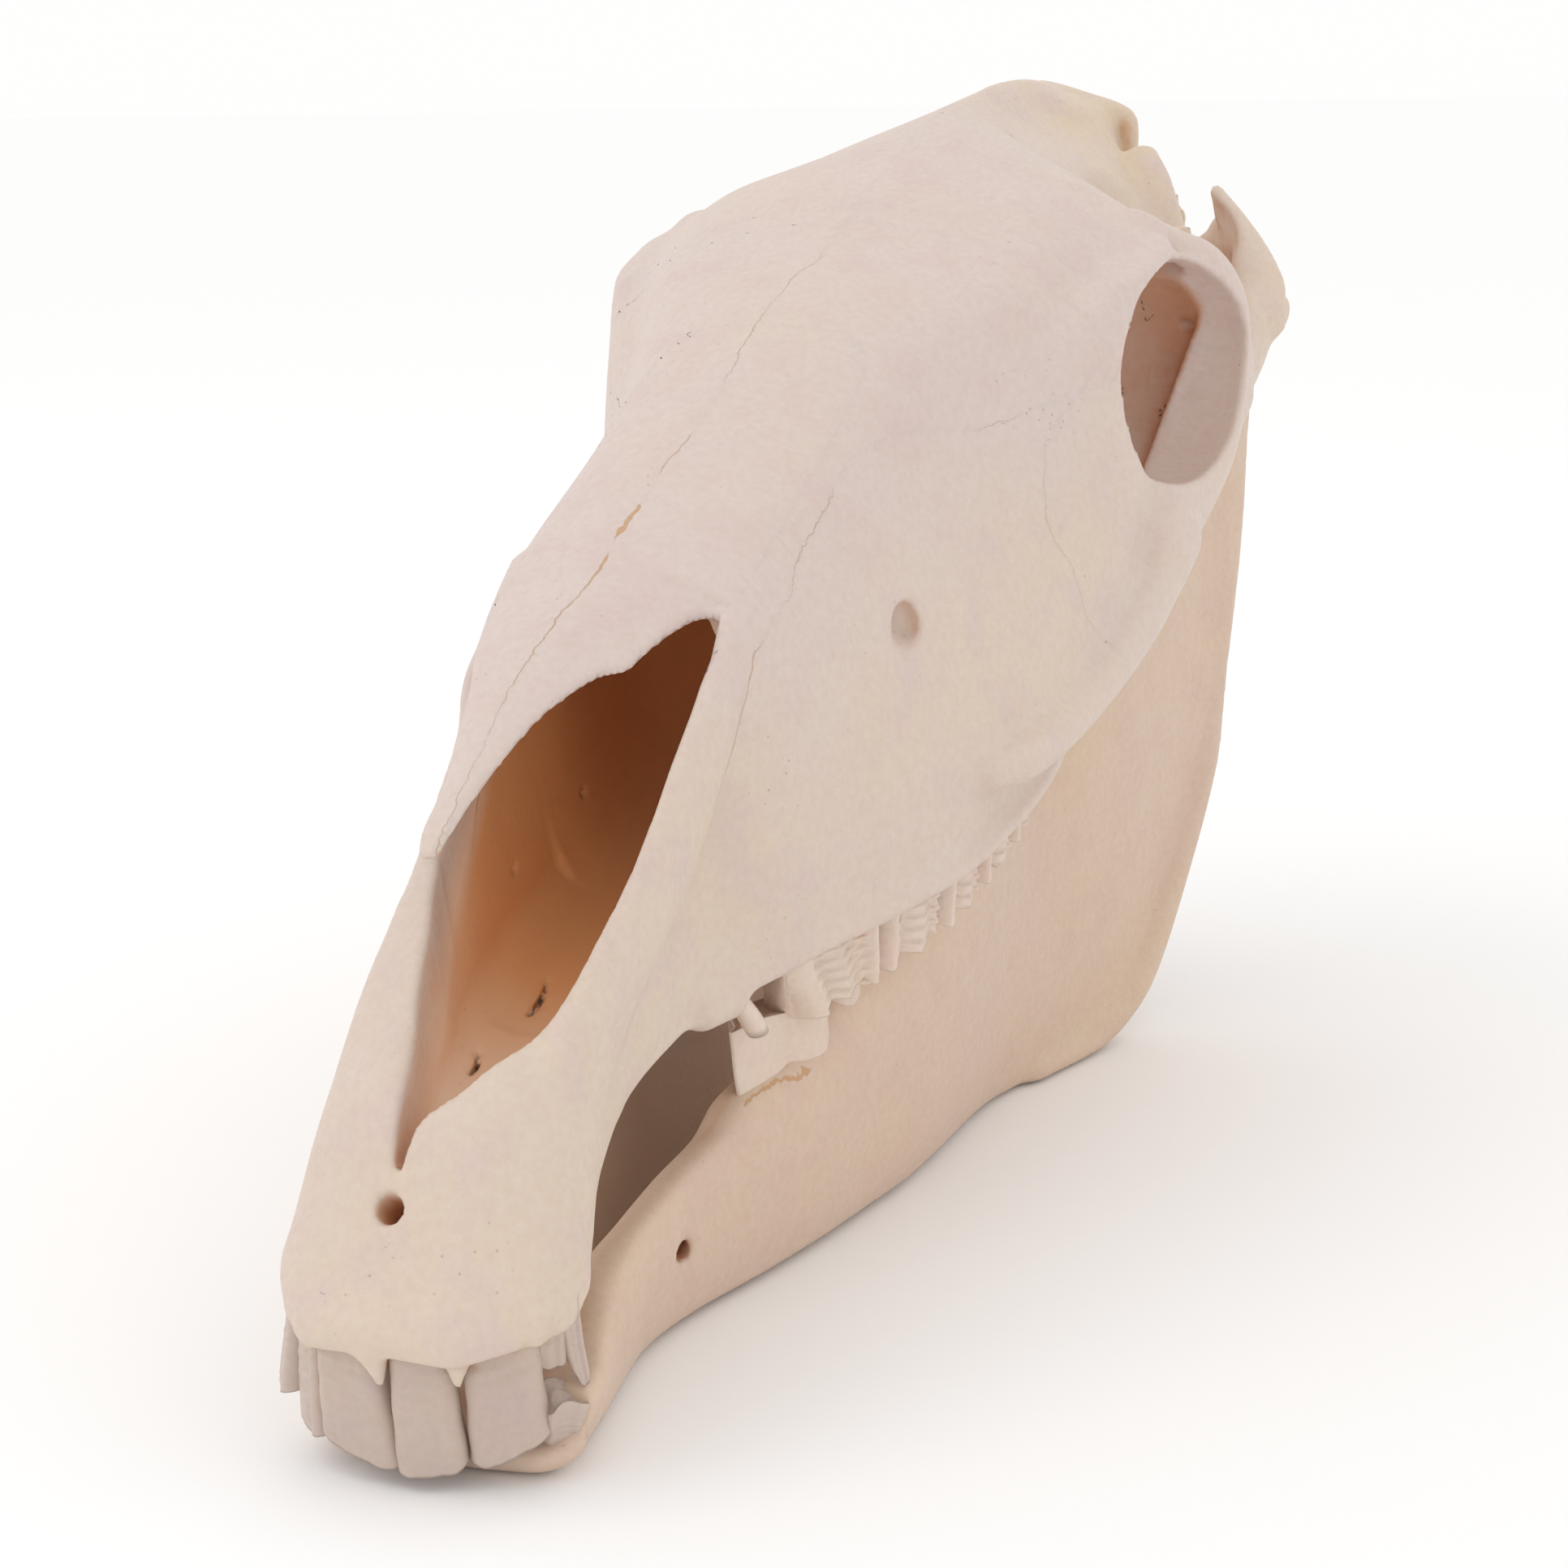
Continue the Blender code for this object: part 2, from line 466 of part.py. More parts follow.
FAR = 140.0
LATERAL = 66.0
ZYGOMATIC_OUTLINE = [(318, 4), (318, 55), (350, 73), (395, 76), (430, 85), (431, 110), (450, 110),
                     (450, 20), (380, 8)]
MAXILLA_OUTLINE = [(60, -70), (358, -70), (358, 60), (368, 74), (368, 100), (335, 112), (303, 140),
                   (303, 180), (60, 180)]
REGIONS = {
    "nasal_bones": [([(50, 66), (104, 79), (150, 93.5), (163, 99), (222, 109), (303, 127), (303, 180),
                      (50, 180)], -32.0, 32.0)],
    "incisive_bone": [([(-30, -70), (107, -70), (118, -10), (222, 108), (222, 180), (-30, 180)],
                       -FAR, FAR)],
    "zygomatic_left": [(ZYGOMATIC_OUTLINE, LATERAL, FAR)],
    "zygomatic_right": [(ZYGOMATIC_OUTLINE, -FAR, -LATERAL)],
    "maxilla_left": [(MAXILLA_OUTLINE, 0.0, FAR)],
    "maxilla_right": [(MAXILLA_OUTLINE, -FAR, 0.0)],
    "braincase": [([(355, -70), (600, -70), (600, 180), (458, 180), (458, 106), (355, 100)],
                   -LATERAL, LATERAL),
                  ([(450, -70), (600, -70), (600, 170), (458, 170), (458, 132), (450, 132)], -FAR, FAR)],
}


def part_bones(blank):
    """Cuts the cranium along its sutures: each bone leaves a thin gap to what remains."""
    bones = {}
    for name, shapes in REGIONS.items():
        inner = [prism("take", *shape, grow=-SUTURE / 2) for shape in shapes]
        outer = [prism("leave", *shape, grow=SUTURE / 2) for shape in shapes]
        if len(shapes) > 1:
            combine(inner[0], inner[1:], "UNION")
            combine(outer[0], outer[1:], "UNION")
        bone = copy_of(blank, name)
        combine(bone, inner[:1], "INTERSECT")
        combine(blank, outer[:1], "DIFFERENCE")
        bones[name] = bone
    bones["frontal_bone"] = blank
    for bone in bones.values():
        drop_slivers(bone)
    return bones


def stand_on_floor(obj):
    """Pitches the solid nose down, scales it to metres and sets the floor at zero."""
    place = (Matrix.Scale(0.001, 4) @ Matrix.Translation((0, 0, -FLOOR_LEVEL))
             @ Matrix.Rotation(PITCH, 4, "X"))
    obj.data.transform(place)


def finish(obj, name, colour):
    """Names the node, gives it its own bone material and lets it show."""
    obj.name = name
    obj.data.name = name
    material = bpy.data.materials.new(name)
    material.use_nodes = True
    shader = material.node_tree.nodes["Principled BSDF"]
    shader.inputs["Base Color"].default_value = colour
    shader.inputs["Roughness"].default_value = ROUGHNESS
    shader.inputs["Metallic"].default_value = 0.0
    obj.data.materials.clear()
    obj.data.materials.append(material)
    obj.hide_render = False
    obj.display_type = "TEXTURED"


def centre_on_origin(objects):
    """Moves the whole skull so that the middle of its outline's box is over the origin."""
    corners = np.array([v.co for obj in objects for v in obj.data.vertices])
    middle = (corners.min(axis=0) + corners.max(axis=0)) / 2
    for obj in objects:
        obj.data.transform(Matrix.Translation((-middle[0], -middle[1], -corners[:, 2].min())))


def main():
    clear_scene()
    cranium = build_cranium()
    jaw = build_jaw()
    bones = part_bones(cranium)
    bones["mandible"] = jaw
    for name, bone in bones.items():
        finish(bone, name, YELLOW_BONE if name in ("braincase", "mandible") else BONE)
        stand_on_floor(bone)
    floor = prism("floor_cut", [(-200, -60), (700, -60), (700, FLAT_DEPTH), (-200, FLAT_DEPTH)],
                  -200, 200)
    floor.data.transform(Matrix.Scale(0.001, 4))
    combine(jaw, [floor], "DIFFERENCE")
    centre_on_origin(list(bones.values()))


main()
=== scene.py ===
"""Horse skull, life size, lying on its lower jaw.

The skull's own frame is in millimetres: x to the animal's left, u back from the front of the upper
jaw, z up from the roots of the cheek teeth. Each bone is carved as a field of distances to its
surface, below zero inside, and the surface is then read off the field.
"""

import math

import bpy
import numpy as np
from mathutils import Matrix, Vector


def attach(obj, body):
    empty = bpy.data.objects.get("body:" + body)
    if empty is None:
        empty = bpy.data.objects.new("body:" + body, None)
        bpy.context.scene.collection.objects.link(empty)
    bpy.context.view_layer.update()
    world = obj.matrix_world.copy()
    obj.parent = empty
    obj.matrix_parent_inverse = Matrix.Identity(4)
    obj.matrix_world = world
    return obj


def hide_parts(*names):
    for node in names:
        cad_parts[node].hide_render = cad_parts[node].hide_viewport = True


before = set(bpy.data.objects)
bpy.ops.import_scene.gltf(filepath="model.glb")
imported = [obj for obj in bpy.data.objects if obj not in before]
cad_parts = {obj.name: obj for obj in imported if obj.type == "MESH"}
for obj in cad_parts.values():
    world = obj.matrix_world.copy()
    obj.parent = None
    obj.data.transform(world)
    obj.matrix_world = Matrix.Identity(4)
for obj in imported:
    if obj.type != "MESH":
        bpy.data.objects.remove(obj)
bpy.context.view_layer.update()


# ======== The block that the cranium is carved from
# The cranium is one mass of bone before its sutures part it: a long box-like face that widens to the
# eyes and narrows again to the braincase. It is worked as a block of points with a distance at each.

PITCH = math.radians(14.5)        # nose-down lie of the skull on its jaw
DATUM = np.array([0.046, -263.890, 46.9])   # where the frame's own zero point lies, in mm
GRAIN = 1.28                      # spacing of the block's points
FAR = 40.0


def to_row(points):
    """Pitches points of the skull's frame nose down, sets them on the floor and gives metres."""
    x, u, z = points[:, 0], points[:, 1], points[:, 2]
    down, along = math.sin(PITCH), math.cos(PITCH)
    turned = np.stack([x, u * along - z * down, u * down + z * along], axis=1)
    return (turned + DATUM) * 0.001


def rail(stations):
    """A monotone cubic through {station: value}: Hermite spans with harmonic-mean slopes."""
    at = np.array(sorted(stations), float)
    value = np.array([stations[s] for s in sorted(stations)], float)
    step, rise = np.diff(at), np.diff(value)
    slope = rise / step
    tangent = np.zeros_like(value)
    tangent[0], tangent[-1] = slope[0], slope[-1]
    same = slope[:-1] * slope[1:] > 0
    first, second = 2 * step[1:] + step[:-1], step[1:] + 2 * step[:-1]
    safe_a, safe_b = np.where(same, slope[:-1], 1.0), np.where(same, slope[1:], 1.0)
    tangent[1:-1] = np.where(same, (first + second) / (first / safe_a + second / safe_b), 0.0)

    def read(u):
        u = np.asarray(u, float)
        i = np.clip(np.searchsorted(at, u) - 1, 0, len(step) - 1)
        t = np.clip((u - at[i]) / step[i], 0.0, 1.0)
        start = (1 + 2 * t) * (1 - t) ** 2 * value[i] + t * (1 - t) ** 2 * step[i] * tangent[i]
        end = t * t * (3 - 2 * t) * value[i + 1] - t * t * (1 - t) * step[i] * tangent[i + 1]
        return start + end

    return read


def smooth_path(points, steps, closed=False):
    """Points along a Catmull-Rom curve through the given points, which may be stacks of points."""
    points = np.asarray(points, float)
    if closed:
        padded = np.concatenate([points[-1:], points, points[:2]])
    else:
        ahead, behind = 2 * points[:1] - points[1:2], 2 * points[-1:] - points[-2:-1]
        padded = np.concatenate([ahead, points, behind])
    t = (np.arange(steps) / steps).reshape((1, steps) + (1,) * (points.ndim - 1))
    a, b, c, d = (padded[k:len(padded) - 3 + k, None] for k in range(4))
    cubic = (2 * b + (c - a) * t + (2 * a - 5 * b + 4 * c - d) * t ** 2
             + (3 * b - a - 3 * c + d) * t ** 3) / 2
    out = cubic.reshape((-1,) + points.shape[1:])
    return out if closed else np.concatenate([out, points[-1:]])


def smooth_min(a, b, k):
    """The lower of two distances, rounded where they differ by less than k."""
    near = np.maximum(k - np.abs(a - b), 0.0)
    return np.minimum(a, b) - near * near / (4 * k)


def smooth_max(a, b, k):
    """The higher of two distances, rounded where they differ by less than k."""
    return -smooth_min(-a, -b, k)


class Block:
    """Points on a regular grid, each with its distance to the surface of the bone."""

    def __init__(self, low, high, step):
        self.low = np.array(low, float)
        self.step = step
        count = np.ceil((np.array(high) - self.low) / step).astype(int) + 1
        self.axes = [self.low[k] + step * np.arange(count[k]) for k in range(3)]
        self.value = np.full(count, FAR, np.float32)

    def window(self, low, high):
        """The slices and the open grids of the points between two corners."""
        cuts = []
        for k in range(3):
            first = int(np.clip(np.searchsorted(self.axes[k], low[k]), 0, len(self.axes[k])))
            last = int(np.clip(np.searchsorted(self.axes[k], high[k]), first, len(self.axes[k])))
            cuts.append(slice(first, last))
        grids = [self.axes[k][cuts[k]].astype(np.float32) for k in range(3)]
        x, u, z = np.ix_(*grids)
        return tuple(cuts), x, u, z

    def join(self, solid, blend=3.0):
        """Adds a solid, with a fillet as wide as blend."""
        low, high, distance = solid
        cut, x, u, z = self.window(np.array(low) - blend - 3, np.array(high) + blend + 3)
        if self.value[cut].size:
            self.value[cut] = smooth_min(self.value[cut], distance(x, u, z), blend)

    def carve(self, solid, blend=1.0):
        """Takes a solid away, with its edge rounded by blend."""
        low, high, distance = solid
        cut, x, u, z = self.window(np.array(low) - blend - 3, np.array(high) + blend + 3)
        if self.value[cut].size:
            self.value[cut] = smooth_max(self.value[cut], -distance(x, u, z), blend)


def ring_distance(rings, x, z):
    """Signed distance in the plane of each station from points (x, z) to that station's closed ring."""
    nearest = np.full((len(x), rings.shape[1], len(z)), 1e9, np.float32)
    inside = np.zeros(nearest.shape, bool)
    px, pz = x[:, None, None].astype(np.float32), z[None, None, :].astype(np.float32)
    for a, b in zip(rings, np.roll(rings, -1, axis=0)):
        ax, az, bx, bz = (v[None, :, None].astype(np.float32)
                          for v in (a[:, 0], a[:, 1], b[:, 0], b[:, 1]))
        ex, ez = bx - ax, bz - az
        along = np.clip(((px - ax) * ex + (pz - az) * ez) / np.maximum(ex * ex + ez * ez, 1e-6), 0, 1)
        nearest = np.minimum(nearest, (px - ax - along * ex) ** 2 + (pz - az - along * ez) ** 2)
        crosses = (az > pz) != (bz > pz)
        rise = np.where(np.abs(ez) < 1e-6, 1e-6, ez)
        inside ^= crosses & (px < ax + (pz - az) / rise * ex)
    return np.sqrt(nearest) * np.where(inside, -1, 1)


def finer(values, axis, times):
    """Cubic interpolation of an array between its samples along one axis."""
    values = np.moveaxis(values, axis, 0)
    count = len(values)
    at = np.arange((count - 1) * times + 1) / times
    i = np.minimum(at.astype(int), count - 2)
    t = (at - i).astype(np.float32).reshape((-1,) + (1,) * (values.ndim - 1))
    a, b, c, d = (values[np.clip(i + k, 0, count - 1)] for k in (-1, 0, 1, 2))
    out = (2 * b + (c - a) * t + (2 * a - 5 * b + 4 * c - d) * t * t
           + (3 * b - a - 3 * c + d) * t ** 3) / 2
    return np.moveaxis(out, 0, axis)


def loft_field(block, section, first, last, coarse=2):
    """Distance to a skin lofted over the rings that section gives at each station along u, worked on
    every second point and interpolated, or on every point where coarse is 1."""
    step = block.step * coarse
    axes = [np.arange(a[0], a[-1] + step, step) for a in block.axes]
    inner = np.clip(axes[1], first, last)
    flat = ring_distance(section(inner), axes[0], axes[2])
    slope = np.sqrt(sum(np.square(g) for g in np.gradient(flat, step)))
    flat = flat / np.clip(slope, 0.6, 3.0)
    ends = np.maximum(first - axes[1], axes[1] - last)[None, :, None].astype(np.float32)
    flat = smooth_max(flat, ends, 3.0)
    for axis in range(3):
        flat = finer(flat, axis, coarse)
    a, b, c = block.value.shape
    return flat[:a, :b, :c]


# Half section at each station, from the middle of the roof round to the palate
ROOF_Z = rail({2: -6, 14: 1, 27: 14, 36: 25, 42: 30, 60: 36, 90: 50, 115: 62, 135: 76, 154: 90,
               170: 110, 195: 117, 240: 126, 281: 136, 330: 143, 385: 151, 430: 154.3, 487: 150,
               528: 142.2, 545: 136, 553: 130.5})
SHOULDER_X = rail({2: 11, 14: 16, 60: 16, 90: 20, 135: 26, 170: 30, 240: 34, 310: 44, 345: 50,
                   406: 50, 420: 40, 437: 26, 459: 12, 487: 5, 510: 5, 528: 12, 553: 16})
SHOULDER_Z = rail({2: -7, 14: 0, 27: 13, 36: 25, 42: 31, 49: 35.5, 60: 40, 90: 55, 115: 65,
                   135: 79, 154: 90, 170: 104, 195: 110, 240: 118, 310: 133, 345: 137, 385: 141.5,
                   406: 142, 437: 145.8, 487: 146.5, 528: 137, 545: 130.5, 553: 127})
FLANK_X = rail({2: 17, 14: 27, 27: 32, 42: 31, 90: 31, 115: 32.5, 154: 36, 170: 40, 195: 44.5,
                240: 50, 270: 51.5, 310: 59, 345: 68, 392: 73, 406: 69, 420: 56, 437: 38, 459: 18,
                487: 14, 510: 14, 528: 22, 553: 26})
FLANK_Z = rail({2: -9, 14: -4, 27: 4, 42: 21, 60: 34, 90: 52, 115: 65, 135: 78, 154: 89, 170: 88,
                195: 88, 240: 94, 270: 99, 310: 112, 345: 123, 385: 128.5, 420: 134.5, 459: 141,
                487: 137, 510: 133, 528: 130, 553: 123})
EDGE_X = rail({2: 20, 14: 32, 27: 38, 42: 37, 60: 33.5, 90: 31, 115: 29.5, 135: 31.5, 154: 40,
               170: 46.5, 195: 53, 240: 61.5, 270: 64, 310: 71, 345: 79, 375: 85, 392: 86, 406: 82,
               420: 65, 437: 47, 459: 34, 487: 36, 510: 35, 528: 34, 545: 27, 553: 21})
EDGE_Z = rail({2: -11, 14: -9, 27: -4, 42: 8, 60: 20, 90: 40, 115: 50, 154: 62, 195: 60, 240: 68,
               270: 74, 310: 88, 345: 110, 360: 118, 375: 120, 406: 122, 420: 128, 437: 132,
               459: 130, 487: 122, 510: 117, 528: 113, 545: 108, 553: 116})
CHEEK_X = rail({2: 19, 14: 32, 27: 38.5, 42: 37, 60: 33, 90: 30, 115: 31, 135: 35, 154: 44,
                195: 59, 240: 74, 270: 79, 310: 83, 345: 86, 358: 85, 375: 60, 392: 55, 437: 48,
                487: 50, 528: 48, 545: 39, 553: 16})
CHEEK_Z = rail({2: -13, 27: -10, 42: -3, 60: 8, 90: 18, 135: 30, 154: 35, 195: 34, 240: 33,
                310: 36, 345: 55, 360: 60, 375: 95, 392: 105, 437: 110, 487: 100, 528: 90, 545: 86,
                553: 116})
UNDERCUT_X = rail({2: 17, 14: 30, 27: 38, 36: 38, 42: 36, 60: 31, 90: 29, 115: 30, 135: 37,
                   154: 45, 175: 53, 195: 60.5, 215: 67.5, 240: 71, 270: 74, 310: 74, 345: 70,
                   358: 64, 375: 44, 392: 41, 420: 43, 459: 54, 487: 57, 510: 58, 528: 58, 545: 46,
                   553: 10})
UNDERCUT_Z = rail({2: -14, 27: -14.5, 36: -12, 42: -8, 60: 1, 90: 11, 115: 13, 135: 14, 154: 16,
                   240: 13, 310: 12, 345: 24, 375: 60, 392: 70, 459: 80, 487: 76, 528: 66,
                   553: 115})
MARGIN_X = rail({2: 12, 14: 23, 27: 32, 36: 32, 42: 30, 60: 26, 90: 25, 115: 27, 135: 34, 154: 43,
                 175: 50.5, 195: 58, 215: 65, 230: 68, 250: 70, 270: 71, 300: 68, 320: 64, 345: 52,
                 360: 42, 375: 36, 459: 36, 510: 40, 545: 32, 553: 6})
MARGIN_Z = rail({2: -14, 27: -15.5, 36: -13, 42: -10, 60: 0, 90: 6.5, 115: 7.5, 135: 7.5, 154: 7,
                 175: 5, 195: 3, 320: 1, 345: 8, 375: 32, 510: 34, 545: 40, 553: 114})
PALATE_Z = rail({2: -14, 27: -9, 42: -4, 60: 3, 90: 7, 154: 8, 240: 10, 300: 14, 375: 22, 420: 29,
                 487: 33, 528: 33, 545: 42, 553: 114})


def cranium_section(u):
    """Rings of (x, z) at the stations u: a smooth closed curve through the half section's points
    and their mirror images."""
    zero = np.zeros_like(u)
    half = [(zero, ROOF_Z(u)), (SHOULDER_X(u), SHOULDER_Z(u)), (FLANK_X(u), FLANK_Z(u)),
            (EDGE_X(u), EDGE_Z(u)), (CHEEK_X(u), CHEEK_Z(u)), (UNDERCUT_X(u), UNDERCUT_Z(u)),
            (MARGIN_X(u), MARGIN_Z(u)), (zero, PALATE_Z(u))]
    whole = half + [(-x, z) for x, z in half[-2:0:-1]]
    return smooth_path(np.array(whole).transpose(0, 2, 1), 6, closed=True)


skull = Block((0, -8, -24), (112, 562, 166), GRAIN)
skull.value = loft_field(skull, cranium_section, 2, 553)


# ======== Cheek arch, orbit, ear and joint
# Bars and knobs of solid bone that grow out of the face and the braincase and run into each other:
# swept ovals and ellipsoids, joined with wide fillets, as bone has no inside corners.

RUNS = 5                          # straight runs of a bar between two points of its path


def rod(path, thick, tall=None, up=(0, 0, 1)):
    """A bar of oval section along a smooth path, with its half width and half height at each point
    or one for all: the distance is that to the nearest of its short straight runs, each worked as
    a stretched ball whose middle slides along the run."""
    line = smooth_path(path, RUNS)
    mark = np.linspace(0, len(path) - 1, len(line))
    thick = np.broadcast_to(thick, len(path))
    tall = thick if tall is None else np.broadcast_to(tall, len(path))
    wide = np.interp(mark, range(len(path)), thick)
    high = np.interp(mark, range(len(path)), tall)
    reach = max(thick.max(), tall.max())

    def distance(x, u, z):
        best = None
        for a, b, w0, w1, h0, h1 in zip(line[:-1], line[1:], wide[:-1], wide[1:], high[:-1], high[1:]):
            run = b - a
            length = np.linalg.norm(run)
            ahead = run / length
            side = np.cross(ahead, up)
            side /= np.linalg.norm(side)
            rise = np.cross(side, ahead)
            dx, du, dz = x - a[0], u - a[1], z - a[2]
            s = dx * ahead[0] + du * ahead[1] + dz * ahead[2]
            t = np.clip(s / length, 0, 1)
            past = s - t * length
            across = dx * side[0] + du * side[1] + dz * side[2]
            upward = dx * rise[0] + du * rise[1] + dz * rise[2]
            w, h = w0 + (w1 - w0) * t, h0 + (h1 - h0) * t
            e = np.minimum(w, h)
            k0 = np.sqrt((across / w) ** 2 + (upward / h) ** 2 + (past / e) ** 2)
            k1 = np.sqrt((across / w ** 2) ** 2 + (upward / h ** 2) ** 2 + (past / e ** 2) ** 2)
            here = k0 * (k0 - 1) / np.maximum(k1, 1e-4)
            best = here if best is None else np.minimum(best, here)
        return best.astype(np.float32)

    return line.min(axis=0) - reach, line.max(axis=0) + reach, distance


def ball(centre, radii, turn=(0, 0, 0)):
    """An ellipsoid turned about x, y and z by degrees."""
    spin = Matrix.Identity(3)
    for axis, angle in zip("XYZ", turn):
        spin = Matrix.Rotation(math.radians(angle), 3, axis) @ spin
    axes = np.array(spin.transposed())
    reach = max(radii)

    def distance(x, u, z):
        d = (x - centre[0], u - centre[1], z - centre[2])
        local = [sum(axes[k][j] * d[j] for j in range(3)) / radii[k] for k in range(3)]
        k0 = np.sqrt(sum(v * v for v in local))
        k1 = np.sqrt(sum((v / r) ** 2 for v, r in zip(local, radii)))
        return (k0 * (k0 - 1) / np.maximum(k1, 1e-4)).astype(np.float32)

    return np.array(centre) - reach, np.array(centre) + reach, distance


ORBIT_RIM = [(76, 350, 91), (80, 357, 72), (86, 369, 58), (91, 388, 51.5), (94, 407, 57), (96, 422, 71),
             (95.5, 427, 88), (91.5, 423, 103), (86, 410, 114), (80, 394, 119), (77, 375, 116),
             (75, 358, 105)]

# Crest of the face, and the cheek arch that carries it back to the jaw's joint
skull.join(rod([(75, 234, 27), (80, 246, 25.5), (82.5, 275, 23), (86, 315, 25), (89, 345, 32),
                (91, 368, 44)], [3.5, 5, 6, 6, 6, 6], [4, 6, 6, 7, 9, 12]), 8)
skull.join(rod([(87, 360, 42), (90, 385, 48), (92.5, 412, 57), (91, 440, 67), (91, 462, 77),
                (80, 486, 83), (56, 497, 82)],
               [6, 6, 6, 6, 8, 10, 12], [14, 13, 12, 11, 11, 10, 10]), 8)

# Rim of the orbit, the bar behind it from the brow to the arch, its back wall and its floor
skull.join(rod(ORBIT_RIM + ORBIT_RIM[:1], 3.5), 6)
skull.join(rod([(72, 408, 126), (82, 420, 117.5), (89, 430, 106), (92.5, 435, 93), (93, 435, 80),
                (93, 430, 66)], [5, 4, 4, 4.5, 5, 6], [5, 5, 5, 6, 8, 9], up=(0, 1, 0.1)), 6)
skull.join(ball((74, 430, 90), (24, 12, 28)), 8)
skull.join(rod([(58, 345, 66), (62, 385, 64), (66, 410, 67)], [18, 17, 14], [20, 18, 15]), 8)
skull.join(rod([(80, 362, 50), (83, 392, 52), (84, 414, 60)], [10, 10, 9], [12, 12, 11]), 6)

# Mound that the wolf tooth stands in, and the cheek under the orbit
skull.join(rod([(31, 127, 9), (34.2, 137, 6.5)], [4.5, 4.0], [5, 4.5]), 5)
skull.join(ball((79.0, 350.6, 40.0), (5, 20, 12)), 8)

# Root of the arch over the jaw's joint: its upright point, flat behind, and its crest
skull.join(rod([(93, 464, 78), (92, 472, 88), (88, 478, 99), (83, 480.5, 109), (77.8, 481, 116.6)],
               [10, 9, 6, 3.2, 1.5], [6.5, 5, 3.8, 2.8, 1.5]), 3.5)
skull.join(rod([(77.6, 482, 115.5), (79.5, 484, 108), (79, 485, 100), (78, 486, 91)],
               [1.5, 2, 2.6, 4], [1.6, 4.6, 8.6, 11]), 3)
skull.join(rod([(82, 485, 97), (76, 486, 94), (68, 488, 90), (58, 494, 86), (50, 500, 85)],
               [4, 4, 4.5, 6, 7], [8, 8, 7.5, 8, 9]), 4)
skull.join(ball((84, 474, 76), (17, 9, 7)), 5)
skull.join(ball((95.2, 478.5, 78), (5.6, 6, 5.5)), 3)

# Column beside the ear, crest of the nape, and the process and knob beside the spinal opening
skull.join(rod([(54, 503, 70), (51, 510, 84), (47.5, 516, 97), (43, 523, 107.5), (38.5, 530, 114)],
               [9, 8.5, 8, 7.4, 6], [8, 6.5, 5.5, 5, 4]), 4)
skull.join(rod([(-4, 545, 133.5), (8, 546, 131), (18, 547, 127.8), (26, 548, 124.8),
                (29.4, 549, 121), (29, 549, 112)], [4, 3.6, 3.4, 3.2, 3, 3]), 4)
skull.join(ball((33, 541, 90), (12, 9, 12)), 6)
skull.join(rod([(40, 512, 62), (47, 518, 38), (46, 523, 8), (43, 524, -14)],
               [9, 8, 6, 4], [9, 9, 7, 4], up=(1, 0, 0)), 8)
skull.join(ball((22, 535, 40), (15, 14, 20), (20, 0, 0)), 5)
skull.join(ball((52, 497, 56), (13, 14, 16)), 6)

# Thin wall beside the opening of the nose into the throat, with its hook
skull.join(rod([(33, 318, 14), (31, 345, 16), (28, 372, 26), (26, 395, 34)],
               [4, 4, 4, 5], [18, 16, 12, 8]), 5)
skull.join(rod([(31, 345, 8), (33, 352, -4), (34, 356, -13)], [3.5, 3, 2.2], [5, 4, 2.2],
               up=(1, 0, 0)), 3)


# ======== Hollows of the cranium
# The nasal cavity, the orbits, the foramina of nerves and the opening for the spinal cord: the same
# kinds of solid, taken away, with thin rounded edges left round them.

CAVITY_FLOOR = rail({100: 11, 150: 12, 220: 16, 262: 26, 285: 50})
CAVITY_HALF_WIDTH = rail({100: 24, 120: 26, 137: 28, 150: 29.5, 170: 30, 180: 30, 240: 36, 270: 26,
                          285: 10})
CAVITY_CEILING = rail({100: 120, 165: 120, 172: 106, 220: 115, 262: 112, 285: 90})


def cavity_section(u):
    """An upright rounded slot: cosine and sine to powers below one."""
    turn = np.linspace(0, 2 * math.pi, 40, endpoint=False)[:, None]
    middle = (CAVITY_FLOOR(u) + CAVITY_CEILING(u)) / 2
    half_height = (CAVITY_CEILING(u) - CAVITY_FLOOR(u)) / 2
    x = CAVITY_HALF_WIDTH(u) * np.sign(np.cos(turn)) * np.abs(np.cos(turn)) ** 0.45
    z = middle + half_height * np.sign(np.sin(turn)) * np.abs(np.sin(turn)) ** 0.6
    return np.stack([x, z], axis=2)


cavity = loft_field(skull, cavity_section, 104, 285)
skull.value = smooth_max(skull.value, -cavity, 2.5)
cavity_whole = np.concatenate([cavity[:0:-1], cavity], axis=0)


def rippled(solid, size, waves):
    """The same solid with its surface raised and lowered by a product of sines along u and z."""
    low, high, distance = solid

    def rough(x, u, z):
        return distance(x, u, z) + size * np.sin(u * waves[0] + x * 0.3) * np.sin(z * waves[1] + 1)

    return low - size, high + size, rough


RIDGE_ACROSS, RIDGE_OFF = (0.9145, 0.1304, -0.3829), 98.05    # plane of the orbit's ridge
INNER_ORBIT = ball((73, 390, 84), (28, 44, 32))[2]


def inner_orbit(x, u, z):
    """A deeper ellipsoid, on the inner side only of the plane of the ridge that crosses the orbit."""
    ridge = RIDGE_ACROSS[0] * x + RIDGE_ACROSS[1] * u + RIDGE_ACROSS[2] * z - RIDGE_OFF
    return smooth_max(INNER_ORBIT(x, u, z), np.asarray(ridge, np.float32), 2.0)


